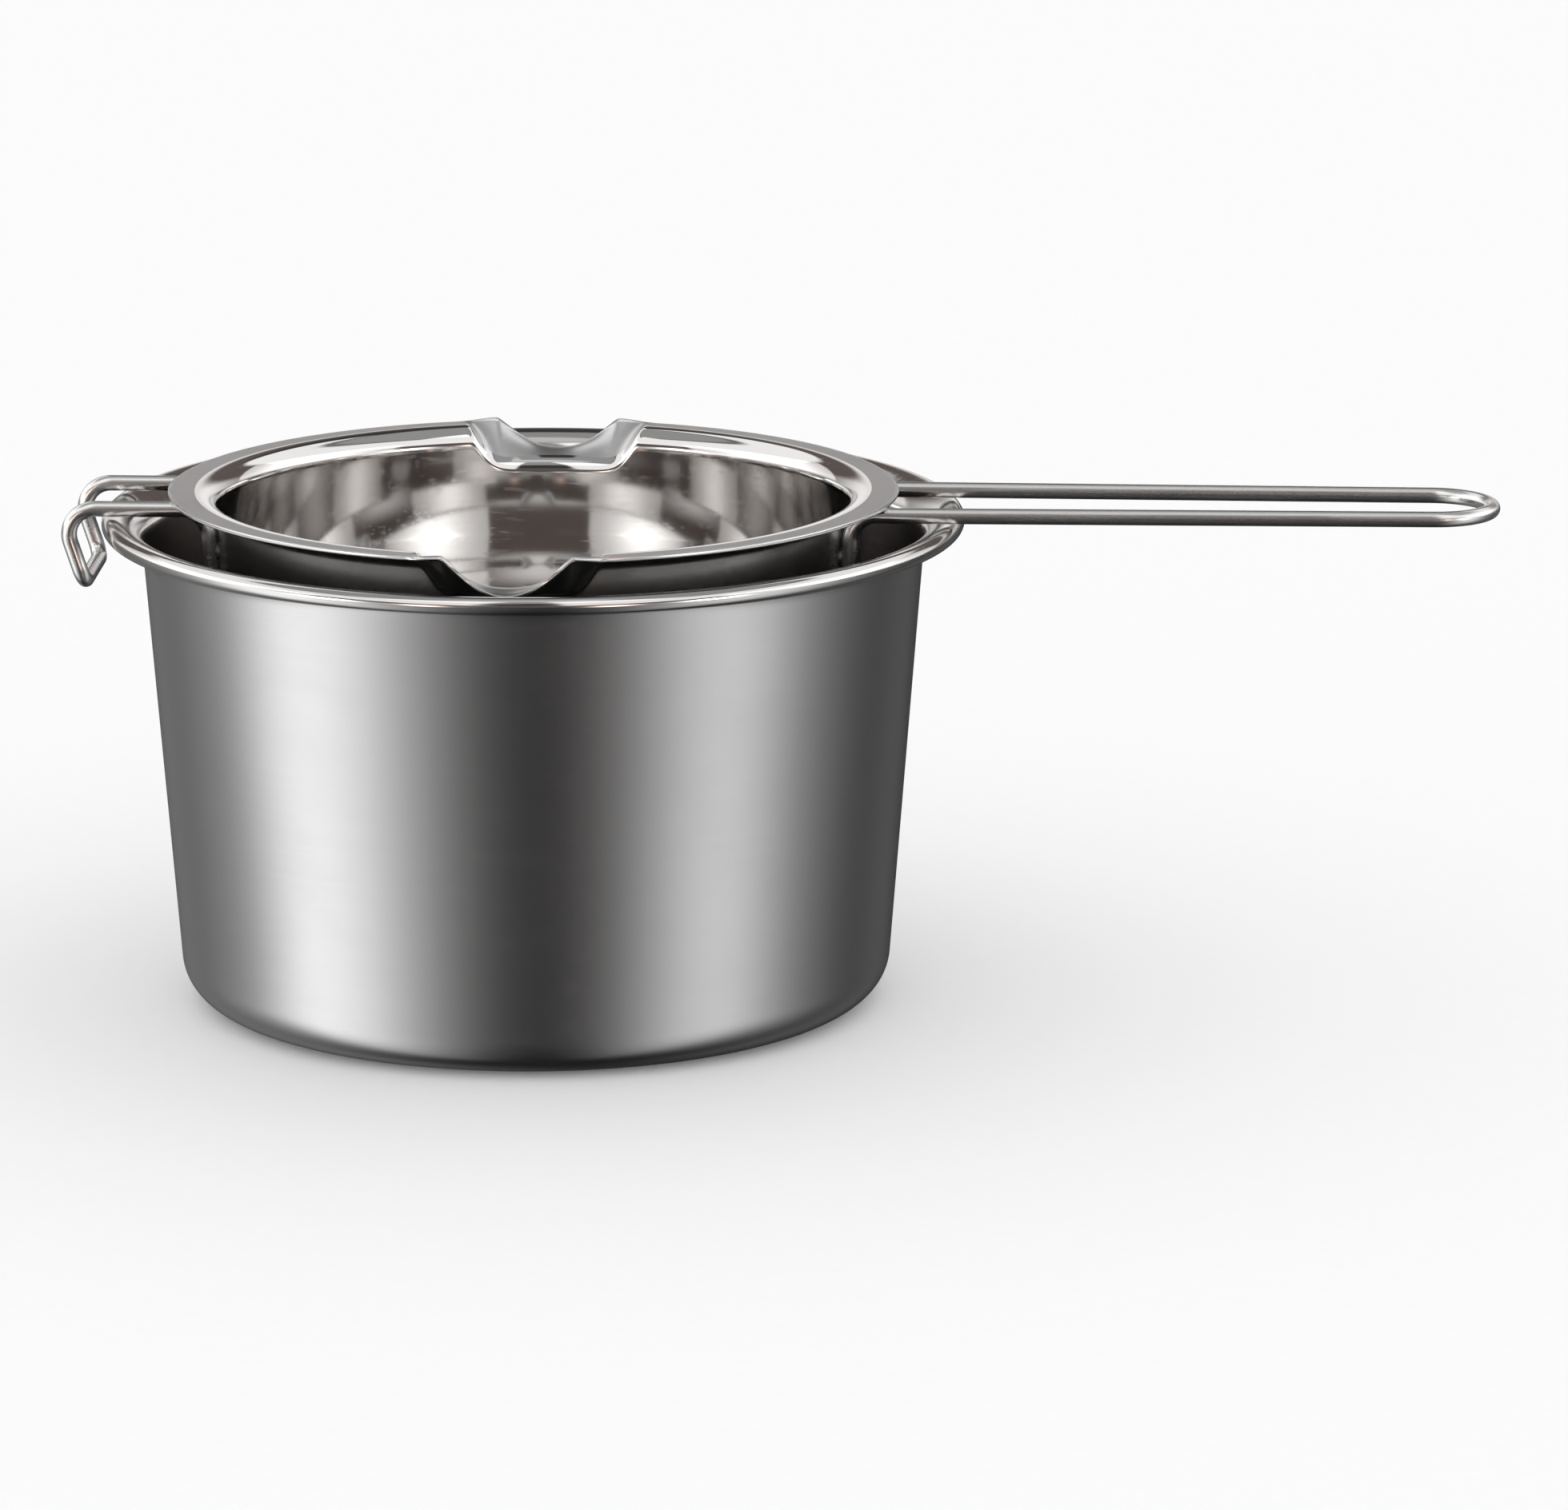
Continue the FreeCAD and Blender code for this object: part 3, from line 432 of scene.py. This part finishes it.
def steel(name, colour, rough, pitch, grain, bump, scratch, patch, breaks=2.0, drawn=False):
    """Stainless steel: its colour and gloss, and how much of its grain, scratches and patches it shows."""
    material = bpy.data.materials.new(name)
    material.use_nodes = True
    tree = material.node_tree
    shader = tree.nodes["Principled BSDF"]
    shader.inputs["Metallic"].default_value = 1.0
    place = tree.nodes.new("ShaderNodeTexCoord").outputs["Object"]
    lines = drawn_lines(tree, pitch) if drawn else turned_lines(tree, place, pitch, breaks)
    marks = add_node(tree, "ShaderNodeGroup", node_tree=HAIRLINES)
    touch = add_node(tree, "ShaderNodeGroup", node_tree=HANDLING)
    for group, values in ((marks, SCRATCHES), (touch, PATCHES)):
        tree.links.new(place, group.inputs["Vector"])
        for label, value in values.items():
            group.inputs[label].default_value = value
    streaks = calc(tree, "ADD", calc(tree, "MULTIPLY", lines.outputs["Lines"], LINE_SHARE),
                   calc(tree, "MULTIPLY", lines.outputs["Bands"], BAND_SHARE))
    gloss = calc(tree, "MULTIPLY_ADD", calc(tree, "SUBTRACT", streaks, 0.5), grain, rough)
    gloss = calc(tree, "MULTIPLY_ADD", marks.outputs["Lines"], scratch, gloss)
    gloss = calc(tree, "MULTIPLY_ADD", touch.outputs["Patches"], patch, gloss)
    tree.links.new(calc(tree, "MAXIMUM", gloss, LEAST_ROUGH), shader.inputs["Roughness"])
    tint = add_node(tree, "ShaderNodeMix", data_type="RGBA")
    tint.inputs["A"].default_value = (*colour, 1)
    tint.inputs["B"].default_value = (*[channel * DULL_TINT for channel in colour], 1)
    shade = calc(tree, "MULTIPLY_ADD", streaks, GRAIN_TINT,
                 calc(tree, "MULTIPLY", touch.outputs["Patches"], PATCH_TINT))
    tree.links.new(shade, tint.inputs["Factor"])
    tree.links.new(tint.outputs["Result"], shader.inputs["Base Color"])
    height = calc(tree, "SUBTRACT", streaks, calc(tree, "MULTIPLY", marks.outputs["Lines"], SCRATCH_DEPTH))
    raised = add_node(tree, "ShaderNodeBump", {"Strength": 1.0, "Distance": bump, "Height": height})
    tree.links.new(raised.outputs["Normal"], shader.inputs["Normal"])
    return material


SATIN_OUTSIDE = steel("satin_outside", (0.66, 0.66, 0.66), rough=0.20, pitch=0.35 * MM, grain=0.05,
                      bump=0.0008 * MM, scratch=0.02, patch=0.015)
TURNED_INSIDE = steel("turned_inside", (0.42, 0.40, 0.39), rough=0.16, pitch=0.5 * MM, grain=0.06,
                      bump=0.0004 * MM, scratch=0.03, patch=0.02, breaks=1.2)
BRIGHT_RIM = steel("bright_rim", (0.68, 0.67, 0.66), rough=0.09, pitch=0.4 * MM, grain=0.04,
                   bump=0.0005 * MM, scratch=0.06, patch=0.03)
MIRROR_INSIDE = steel("mirror_inside", (0.74, 0.73, 0.72), rough=0.05, pitch=0.4 * MM, grain=0.02,
                      bump=0.0003 * MM, scratch=0.05, patch=0.02)
SATIN_BRIM = steel("satin_brim", (0.64, 0.64, 0.64), rough=0.33, pitch=0.3 * MM, grain=0.08,
                   bump=0.001 * MM, scratch=0.05, patch=0.03)
CUT_EDGE = steel("cut_edge", (0.68, 0.68, 0.68), rough=0.2, pitch=0.2 * MM, grain=0.08,
                 bump=0.001 * MM, scratch=0.05, patch=0.02)
BRIGHT_WIRE = steel("bright_wire", (0.80, 0.80, 0.79), rough=0.24, pitch=0.12 * MM, grain=0.10,
                    bump=0.0005 * MM, scratch=0.03, patch=0.03, drawn=True)
WELD_METAL = steel("weld_metal", (0.42, 0.39, 0.36), rough=0.38, pitch=0.25 * MM, grain=0.2,
                   bump=0.004 * MM, scratch=0.05, patch=0.1)

# the pot's inside is brushed round, so light spreads up and down it and hardly sideways
brushed = TURNED_INSIDE.node_tree.nodes["Principled BSDF"].inputs
brushed["Anisotropic"].default_value = 0.9
brushed["Anisotropic Rotation"].default_value = 0.25


# The pot

def pot_skin(depth):
    """Corners of one face of the pot's sheet, this deep into the sheet from its outer face."""
    half_turn = math.tan((math.pi / 2 - POT_TAPER) / 2)
    corner = POT_CORNER - depth
    flare = POT_FLARE + depth
    bead = POT_BEAD - POT_SHEET + depth
    top = POT_HEIGHT - POT_SHEET + depth
    inside = 1.0 if depth > 0 else 0.0
    rim = 2.0 * inside
    corners = [
        (Vector((0, 0, depth)), 0.0, inside),
        (Vector((POT_BASE_FLAT + corner * half_turn, 0, depth)), corner, inside),
        (Vector((BEAD_CENTRE - flare * half_turn, 0, top)), flare, rim),
    ]
    step = POT_CURL / CURL_BENDS
    reach = bead * math.tan(step / 2)
    here = Vector((BEAD_CENTRE, 0, top))
    for bend in range(CURL_BENDS):
        here = here + Vector((math.cos(bend * step), 0, -math.sin(bend * step))) * reach
        corners.append((here, bead, rim))
        here = here + Vector((math.cos((bend + 1) * step), 0, -math.sin((bend + 1) * step))) * reach
    corners.append((here, 0.0, rim))
    return corners


def make_pot():
    """The pot, its sheet's section turned once round."""
    outer = with_supports(pot_skin(0.0))
    inner = with_supports(pot_skin(POT_SHEET))
    piece = corner_line("pot_shell", outer + inner[::-1])
    shape_by(piece, turned_sheet_tree(), {
        "Bend steps": BEND_STEPS, "Turn steps": TURN_STEPS, "Ring radius": RING_RADIUS,
        "Outside": SATIN_OUTSIDE, "Inside": TURNED_INSIDE, "Rim": BRIGHT_RIM})
    return make_plain(piece)


# The bowl

def arc(centre, radius, start, end, steps):
    """Points on an arc in section, both ends included, each a distance from the axis and a height."""
    turns = [start + (end - start) * step / steps for step in range(steps + 1)]
    return [(centre[0] + radius * math.cos(turn), centre[1] + radius * math.sin(turn)) for turn in turns]


def heading(turn):
    """The direction at this angle in section."""
    return Vector((math.cos(turn), math.sin(turn)))


def wall_bend():
    """Centre and radius of the wall's long curve, and the angle where it meets the base bend."""
    base = Vector((BOWL_BASE_FLAT, BOWL_BASE_BEND - BOWL_DEPTH))
    foot = Vector((BOWL_WALL - BOWL_STRAIGHT * math.tan(BOWL_TAPER), -BOWL_STRAIGHT))
    outward = Vector((math.cos(BOWL_TAPER), -math.sin(BOWL_TAPER)))
    across = foot - base
    radius = (across.dot(across) - BOWL_BASE_BEND ** 2) / (2 * (across.dot(outward) - BOWL_BASE_BEND))
    centre = foot - outward * radius
    return centre, radius, math.atan2(base.y - centre.y, base.x - centre.x)


def pressed_share(side, half, squareness, ease):
    """Share of a spout's depth beside its middle: 1 there, 0 from the half width on."""
    return (1 - min(1.0, side / half) ** squareness) ** ease


def lip_drop(side, share):
    """How far a spout's lip lies under the brim; the shoulders beside it rise a little."""
    past = (side - SPOUT_LIP) / SPOUT_RUN
    if past < 0:
        return (SPOUT_LIP_DEPTH + SPOUT_RISE) * share - SPOUT_RISE
    return -SPOUT_RISE * (1 + math.cos(math.pi * min(1.0, past))) / 2


def brim_radius(turn):
    """Distance from the axis to the oval brim's edge."""
    place = BRIM_END - BRIM_TIP
    inset = BRIM_SIDE - BRIM_TIP
    offset = (place ** 2 - inset ** 2) / (2 * inset)
    ahead, aside = abs(math.cos(turn)), abs(math.sin(turn))
    corner = Vector((place, 0)) + Vector((place, offset)).normalized() * BRIM_TIP
    if aside * corner.x < ahead * corner.y:
        return place * ahead + math.sqrt(BRIM_TIP ** 2 - (place * aside) ** 2)
    long_radius = BRIM_SIDE + offset
    return math.sqrt(long_radius ** 2 - (offset * ahead) ** 2) - offset * aside


def bezier(poles, end, steps):
    """Points on a curve with four poles, from just past its start to this share of it."""
    points = []
    for step in range(1, steps + 1):
        t = end * step / steps
        weights = ((1 - t) ** 3, 3 * t * (1 - t) ** 2, 3 * t ** 2 * (1 - t), t ** 3)
        points.append(tuple(sum((pole * weight for pole, weight in zip(poles, weights)), Vector((0, 0)))))
    return points


def bowl_section(turn):
    """The bowl's sheet in section at one angle, from the middle of its inside over the brim to its outside."""
    side = (abs(abs(math.remainder(turn, math.tau)) - math.pi / 2)) * SPOUT_MIDDLE
    mouth = pressed_share(side, SPOUT_MOUTH, MOUTH_SQUARENESS, MOUTH_EASE)
    share = pressed_share(side, SPOUT_LIP, LIP_SQUARENESS, LIP_EASE)
    base = (BOWL_BASE_FLAT, BOWL_BASE_BEND - BOWL_DEPTH)
    centre, radius, blend = wall_bend()
    bend = BRIM_BEND + (SPOUT_THROAT - BRIM_BEND) * mouth
    height = -SPOUT_THROAT_DEPTH * mouth - BOWL_SHEET - bend
    brim = Vector((BOWL_WALL + height * math.tan(BOWL_TAPER) + bend / math.cos(BOWL_TAPER), height))
    # the brim leaves its bend on the straight line to the lip, and a spout's outer part droops
    lip = Vector((brim_radius(turn) + SPOUT_REACH * share ** 2, -lip_drop(side, share)))
    across = lip - brim
    slope = math.acos((bend + BOWL_SHEET) / across.length) - math.atan2(across.x, across.y)
    along = heading(slope)
    run = across.dot(along)
    droop = SPOUT_DROOP * share
    lip_turn = math.atan2(droop, run * DROOP_SHARE)
    up = slope + math.pi / 2

    def skin(depth):
        """One face of the sheet up to the brim's bend, this deep into the sheet from its outer face."""
        floor = depth - BOWL_DEPTH
        flat = [(BOWL_BASE_FLAT * part, floor) for part in FLOOR_RINGS] + [(BOWL_BASE_FLAT - SUPPORT, floor)]
        bends = arc(base, BOWL_BASE_BEND - depth, -math.pi / 2, blend, BASE_BEND_STEPS)
        bends += arc(centre, radius - depth, blend, -BOWL_TAPER, WALL_BEND_STEPS)[1:]
        turn_out = arc(brim, bend + depth, math.pi - BOWL_TAPER, up, BRIM_BEND_STEPS)
        foot, head = Vector(bends[-1]), Vector(turn_out[0])
        rise = (head - foot).normalized() * SUPPORT
        wall = [tuple(foot + rise), tuple((foot + head) / 2), tuple(head - rise)]
        return flat + bends + wall + turn_out

    def level(depth):
        """One face of the brim past its bend, this deep into the sheet from its upper face."""
        first = brim + heading(up) * (bend + BOWL_SHEET - depth)
        knee = lip - along * (run * DROOP_SHARE) - heading(up - lip_turn / 2) * (depth / math.cos(lip_turn / 2))
        last = lip - heading(up) * droop - heading(up - lip_turn) * depth
        poles = (first, first + along * (run / 2), knee, last)
        return bezier(poles, 1 - BRIM_EDGE / (3 * (last - knee).length), BRIM_STEPS), last

    top, top_end = level(0.0)
    under, under_end = level(BOWL_SHEET)
    ahead = up - lip_turn - math.pi / 2
    inset = heading(ahead) * BRIM_EDGE
    lift = heading(up - lip_turn) * BRIM_EDGE
    edge = arc(top_end - inset - lift, BRIM_EDGE, ahead + math.pi / 2, ahead, EDGE_STEPS)
    edge += arc(under_end - inset + lift, BRIM_EDGE, ahead, ahead - math.pi / 2, EDGE_STEPS)
    return skin(BOWL_SHEET), top, edge, under[::-1] + skin(0.0)[::-1]


def make_bowl():
    """The bowl, one section after another round the axis."""
    points, faces, finishes = [], [], []
    for number in range(BOWL_STEPS):
        turn = math.tau * number / BOWL_STEPS
        section = bowl_section(turn)
        for stretch in section:
            points.extend((r * math.cos(turn), r * math.sin(turn), z + BRIM_HEIGHT) for r, z in stretch)
    counts = [len(stretch) for stretch in section]
    row = sum(counts)
    zones = [zone for zone, count in enumerate(counts) for _ in range(count)]
    for number in range(BOWL_STEPS):
        here = number * row
        there = (number + 1) % BOWL_STEPS * row
        for i in range(row - 1):
            faces.append((here + i, here + i + 1, there + i + 1, there + i))
            finishes.append(zones[i])
    mesh = bpy.data.meshes.new("bowl_shell")
    mesh.from_pydata(points, [], faces)
    for material in (MIRROR_INSIDE, SATIN_BRIM, CUT_EDGE, SATIN_OUTSIDE):
        mesh.materials.append(material)
    mesh.polygons.foreach_set("material_index", finishes)
    close_mesh(mesh)
    piece = bpy.data.objects.new("bowl_shell", mesh)
    bpy.context.scene.collection.objects.link(piece)
    return piece


# The wires

def leg_place(spread, drop):
    """Distance out of a leg's middle line where it lies along the tapered wall, this far below the brim."""
    stand_off = (WIRE / 2 + WIRE_GAP) / math.cos(BOWL_TAPER)
    radius = BOWL_WALL - drop * math.tan(BOWL_TAPER) + stand_off
    return math.sqrt(radius ** 2 - (spread / 2) ** 2)


def leg_corners(spread, ahead):
    """The leg's foot and its bend into the level run, on the +Y side."""
    head_drop = BRIM_HEIGHT - RUN_HEIGHT + WIRE_BEND
    foot_out = leg_place(spread, LEG_DEPTH)
    head_out = leg_place(spread, head_drop)
    lean = math.atan2(head_out - foot_out, LEG_DEPTH - head_drop)
    rise = ahead * math.sin(lean) + Vector((0, 0, math.cos(lean)))
    head = Vector((math.copysign(head_out, ahead.x), spread / 2, BRIM_HEIGHT - head_drop))
    foot = head - rise * ((LEG_DEPTH - head_drop) / math.cos(lean))
    return [(foot, 0.0, 0.0), (head + rise * (WIRE_BEND / math.cos(lean)), WIRE_BEND, 0.0)]


def both_sides(half):
    """A whole wire's corners from the half on the +Y side."""
    flip = Vector((1, -1, 1))
    return half + [(place * flip, bend, finish) for place, bend, finish in reversed(half)]


def handle_corners():
    """The long handle's corners: two legs and two runs that close in towards a round end."""
    ahead = Vector((math.cos(HANDLE_CLOSING), -math.sin(HANDLE_CLOSING), 0))
    outward = Vector((math.sin(HANDLE_CLOSING), math.cos(HANDLE_CLOSING), 0))
    half = leg_corners(HANDLE_SPREAD, ahead)
    bend = half[-1][0]
    tip = HANDLE_REACH - WIRE / 2
    end = bend + ahead * ((tip - bend.x) / ahead.x)
    radius = (bend.dot(outward) - tip * outward.x) / (1 - outward.x)
    # a hair under the full half circle, or the two arcs of the round end would meet in one point
    return both_sides(half + [(end, radius * LOOP_FIT, 0.0)])


def hook_corners():
    """The rim hook's corners: two legs, two arms over the rim, and a bar that closes the drops."""
    half = leg_corners(HOOK_SPREAD, Vector((-1, 0, 0)))
    bar = Vector((-HOOK_BAR, HOOK_SPREAD / 2, RUN_HEIGHT - HOOK_DROP))
    top = bar + Vector((-math.tan(HOOK_LEAN) * HOOK_DROP, 0, HOOK_DROP))
    return both_sides(half + [(top, HOOK_BEND, 0.0), (bar, HOOK_CORNER, 0.0)])


def make_wire(name, corners, tree):
    """A round wire along its corners, with slightly rounded cut ends."""
    piece = corner_line(name, with_supports(corners))
    shape_by(piece, tree, {"Bend steps": BEND_STEPS, "Wire diameter": WIRE, "Round steps": WIRE_STEPS,
                           "Material": BRIGHT_WIRE})
    ends = piece.modifiers.new("rounded_ends", "BEVEL")
    ends.width = WIRE_END
    ends.segments = WIRE_END_STEPS
    ends.limit_method = "ANGLE"
    ends.angle_limit = SHARP_EDGE
    return make_plain(piece)


def make_welds(name, spread, way, tree):
    """Weld spots where a wire's two legs touch the wall."""
    places, facings = [], []
    for side in (1, -1):
        for number in (0, 1):
            drop = LEG_DEPTH - WELD_INSET - number * WELD_SPACING
            leg = Vector((way * leg_place(spread, drop), side * spread / 2, 0))
            outward = leg.normalized()
            places.append(leg - outward * (WIRE + WIRE_GAP) / 2 + Vector((0, 0, BRIM_HEIGHT - drop)))
            facings.append(outward)
    mesh = bpy.data.meshes.new(name)
    mesh.from_pydata(places, [], [])
    facing = mesh.attributes.new("facing", "FLOAT_VECTOR", "POINT")
    facing.data.foreach_set("vector", [part for direction in facings for part in direction])
    piece = bpy.data.objects.new(name, mesh)
    bpy.context.scene.collection.objects.link(piece)
    shape_by(piece, tree, {"Spot width": WELD_WIDTH, "Spot height": WELD_HEIGHT, "Spot depth": WELD_THICKNESS,
                           "Material": WELD_METAL})
    return make_plain(piece)


# The studio
#
# The steel mirrors lamps and panels that stand round it. A turn is in degrees from the front, to the right as
# positive, and a rise in degrees above level. A soft band is a middle, the fades before and after it, and a
# strength. Limits are where something starts, is full, starts to fade and has ended.

LAMPS = ((-72.0, 16.5, 26.0, 1.36), (-112.0, 14.0, 14.0, 0.2), (65.4, 20.6, 18.0, 0.86), (104.0, 14.0, 14.0, 0.1))
LAMP_RISE = (-88.0, -24.0, 3.0, 9.0)
EDGE_LAMPS = ((-150.0, 14.0, 18.0, 0.17), (150.0, 18.0, 14.0, 0.09))
EDGE_LAMP_RISE = (-75.0, -45.0, 3.0, 9.0)
BACK_PANEL = (180.0, 24.0, 24.0, 0.9)
BACK_PANEL_RISE = (-1.0, 5.0, 10.0, 17.0)
SIDE_PANEL = (98.0, 18.0, 18.0, 1.5)
SIDE_PANEL_LEAST = 0.6
SIDE_PANEL_TURN = (56.0, 59.0, 140.0, 143.0)
SIDE_PANEL_RISE = (3.0, 9.0, 27.0, 31.0)
UPPER_PANEL = 1.1
UPPER_PANEL_TURN = (11.0, 13.0, 164.0, 168.0)
UPPER_PANEL_FOOT = (100.0, 140.0, 20.0, 28.0)
UPPER_PANEL_HEAD = (42.0, 60.0, 78.0, 52.0)
FOOT_FADE, HEAD_FADE = 3.0, 4.0
CEILINGS = ((50.0, 55.0, 0.0, 0.32), (77.0, 82.0, 0.0, 0.35))
WHITE_BAR = (52.0, 5.0, 5.0, 4.5)
PEACH_BAR = (25.0, 3.5, 3.5, 3.6)
BAR_RISE = (-10.0, -4.0, 7.0, 10.0)
DARK = (-5.0, 8.0, 0.014, 0.05)
WARM_BELT = 0.085
WARM_BELT_RISE = (3.0, 8.0, 27.0, 31.0)
WARM = (1.0, 0.72, 0.62, 1)
WHITE = (1, 1, 1, 1)
EVEN_LIGHT = 1.08


def soft_band(tree, value, middle, before, after, strength):
    """A soft band: its strength at the middle, fading over its own width on each side."""
    away = calc(tree, "SUBTRACT", value, middle)
    width = calc(tree, "MULTIPLY_ADD", calc(tree, "GREATER_THAN", away, 0.0), after - before, before)
    part = calc(tree, "DIVIDE", away, width)
    power = calc(tree, "MULTIPLY", calc(tree, "MULTIPLY", part, part), -0.5)
    return calc(tree, "MULTIPLY", calc(tree, "EXPONENT", power), strength)


def within(tree, value, start, full, fade, end):
    """1 between full and fade, and 0 before the start and past the end."""
    return calc(tree, "MULTIPLY", ramp(tree, value, start, full), ramp(tree, value, end, fade))


def added(tree, first, *others):
    """Values added together."""
    for other in others:
        first = calc(tree, "ADD", first, other)
    return first


def multiplied(tree, first, *others):
    """Values multiplied together."""
    for other in others:
        first = calc(tree, "MULTIPLY", first, other)
    return first


def white_lights(tree, turn, rise):
    """How bright the lamps and panels are at each turn and rise."""
    off_front = calc(tree, "ABSOLUTE", turn)
    lamps = multiplied(tree, added(tree, *[soft_band(tree, turn, *lamp) for lamp in LAMPS]),
                    within(tree, rise, *LAMP_RISE))
    edges = multiplied(tree, added(tree, *[soft_band(tree, turn, *lamp) for lamp in EDGE_LAMPS]),
                    within(tree, rise, *EDGE_LAMP_RISE))
    back = multiplied(tree, soft_band(tree, off_front, *BACK_PANEL), within(tree, rise, *BACK_PANEL_RISE))
    sides = multiplied(tree, added(tree, soft_band(tree, off_front, *SIDE_PANEL), SIDE_PANEL_LEAST),
                    within(tree, off_front, *SIDE_PANEL_TURN), within(tree, rise, *SIDE_PANEL_RISE))
    foot = ramp(tree, off_front, *UPPER_PANEL_FOOT)
    head = ramp(tree, off_front, *UPPER_PANEL_HEAD)
    upper = multiplied(tree, within(tree, off_front, *UPPER_PANEL_TURN),
                    ramp(tree, calc(tree, "SUBTRACT", rise, foot), 0.0, FOOT_FADE),
                    ramp(tree, calc(tree, "SUBTRACT", head, rise), 0.0, HEAD_FADE), UPPER_PANEL)
    overhead = added(tree, *[ramp(tree, rise, *ceiling) for ceiling in CEILINGS])
    bars = multiplied(tree, soft_band(tree, off_front, *WHITE_BAR), within(tree, rise, *BAR_RISE))
    return added(tree, ramp(tree, rise, *DARK), lamps, back, edges, sides, upper, overhead, bars)


def warm_lights(tree, turn, rise):
    """How bright the warm belt and the peach bars are at each turn and rise."""
    off_front = calc(tree, "ABSOLUTE", turn)
    belt = multiplied(tree, within(tree, rise, *WARM_BELT_RISE), WARM_BELT)
    bars = multiplied(tree, soft_band(tree, off_front, *PEACH_BAR), within(tree, rise, *BAR_RISE))
    return added(tree, belt, bars)


def make_studio_light():
    """Even pale light on the floor, and round it soft lamps and panels that the steel mirrors."""
    world = bpy.data.worlds.new("studio")
    bpy.context.scene.world = world
    world.use_nodes = True
    world.cycles.sampling_method = "NONE"
    tree = world.node_tree
    tree.nodes.clear()
    place = tree.nodes.new("ShaderNodeTexCoord").outputs["Generated"]
    way = add_node(tree, "ShaderNodeSeparateXYZ", {0: place})
    x, y, z = (way.outputs[axis] for axis in "XYZ")
    turn = calc(tree, "DEGREES", calc(tree, "ARCTAN2", x, calc(tree, "MULTIPLY", y, -1.0)))
    rise = calc(tree, "DEGREES", calc(tree, "ARCSINE", z))
    bright = add_node(tree, "ShaderNodeBackground", {"Color": WHITE, "Strength": white_lights(tree, turn, rise)})
    warm = add_node(tree, "ShaderNodeBackground", {"Color": WARM, "Strength": warm_lights(tree, turn, rise)})
    mirrored = add_node(tree, "ShaderNodeAddShader", {0: bright.outputs[0], 1: warm.outputs[0]})
    even = add_node(tree, "ShaderNodeBackground", {"Color": WHITE, "Strength": EVEN_LIGHT})
    path = tree.nodes.new("ShaderNodeLightPath")
    either = add_node(tree, "ShaderNodeMixShader", {
        0: path.outputs["Is Glossy Ray"], 1: even.outputs[0], 2: mirrored.outputs[0]})
    add_node(tree, "ShaderNodeOutputWorld", {"Surface": either.outputs[0]})


def make_floor():
    """A wide pale floor with a fine, hardly visible tooth."""
    mesh = bpy.data.meshes.new("floor")
    half = 8.0
    low = -0.2 * MM
    mesh.from_pydata([(-half, -half, low), (half, -half, low), (half, half, low), (-half, half, low)], [],
                     [(0, 1, 2, 3)])
    floor = bpy.data.objects.new("floor", mesh)
    bpy.context.scene.collection.objects.link(floor)
    material = bpy.data.materials.new("pale_floor")
    material.use_nodes = True
    tree = material.node_tree
    shader = tree.nodes["Principled BSDF"]
    shader.inputs["Roughness"].default_value = 0.9
    place = tree.nodes.new("ShaderNodeTexCoord").outputs["Object"]
    tooth = add_node(tree, "ShaderNodeTexNoise", {"Vector": place, "Scale": 300.0, "Detail": 3.0})
    tint = add_node(tree, "ShaderNodeMix", {"Factor": tooth.outputs[0]}, data_type="RGBA")
    tint.inputs["A"].default_value = (0.90, 0.90, 0.90, 1)
    tint.inputs["B"].default_value = (0.92, 0.92, 0.92, 1)
    tree.links.new(tint.outputs["Result"], shader.inputs["Base Color"])
    mesh.materials.append(material)
    floor.visible_glossy = False


def make_camera():
    """A long lens, a little above the rim, with the handle to the right."""
    azimuth = math.radians(2.5)
    elevation = math.radians(13.3)
    distance = 1.6
    field = 0.302
    middle = Vector((0.048, 0, 0.047))
    back = Vector((math.sin(azimuth) * math.cos(elevation), -math.cos(azimuth) * math.cos(elevation),
                   math.sin(elevation)))
    data = bpy.data.cameras.new("camera")
    data.lens = data.sensor_width * distance / field
    camera = bpy.data.objects.new("camera", data)
    camera.location = middle + back * distance
    camera.rotation_euler = (-back).to_track_quat("-Z", "Y").to_euler()
    bpy.context.scene.collection.objects.link(camera)
    bpy.context.scene.camera = camera


def place_piece(piece, body, node):
    """Hang a piece on the empty of the body it rides on, and hide the model's node that it stands in for."""
    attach(piece, body)
    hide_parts(node)


bpy.context.scene.view_settings.view_transform = "Standard"
# the bowl's inside mirrors itself many times over
bpy.context.scene.cycles.glossy_bounces = 8
make_studio_light()
make_floor()
make_camera()

WIRE_TREE = bent_wire_tree()
WELD_TREE = weld_spots_tree()
place_piece(make_pot(), "pot", "lower_pot")
place_piece(make_bowl(), "bowl", "upper_bowl")
place_piece(make_wire("handle_wire", handle_corners(), WIRE_TREE), "bowl", "long_handle")
place_piece(make_wire("hook_wire", hook_corners(), WIRE_TREE), "bowl", "rim_hook")
place_piece(make_welds("handle_spots", HANDLE_SPREAD, 1, WELD_TREE), "bowl", "handle_welds")
place_piece(make_welds("hook_spots", HOOK_SPREAD, -1, WELD_TREE), "bowl", "hook_welds")
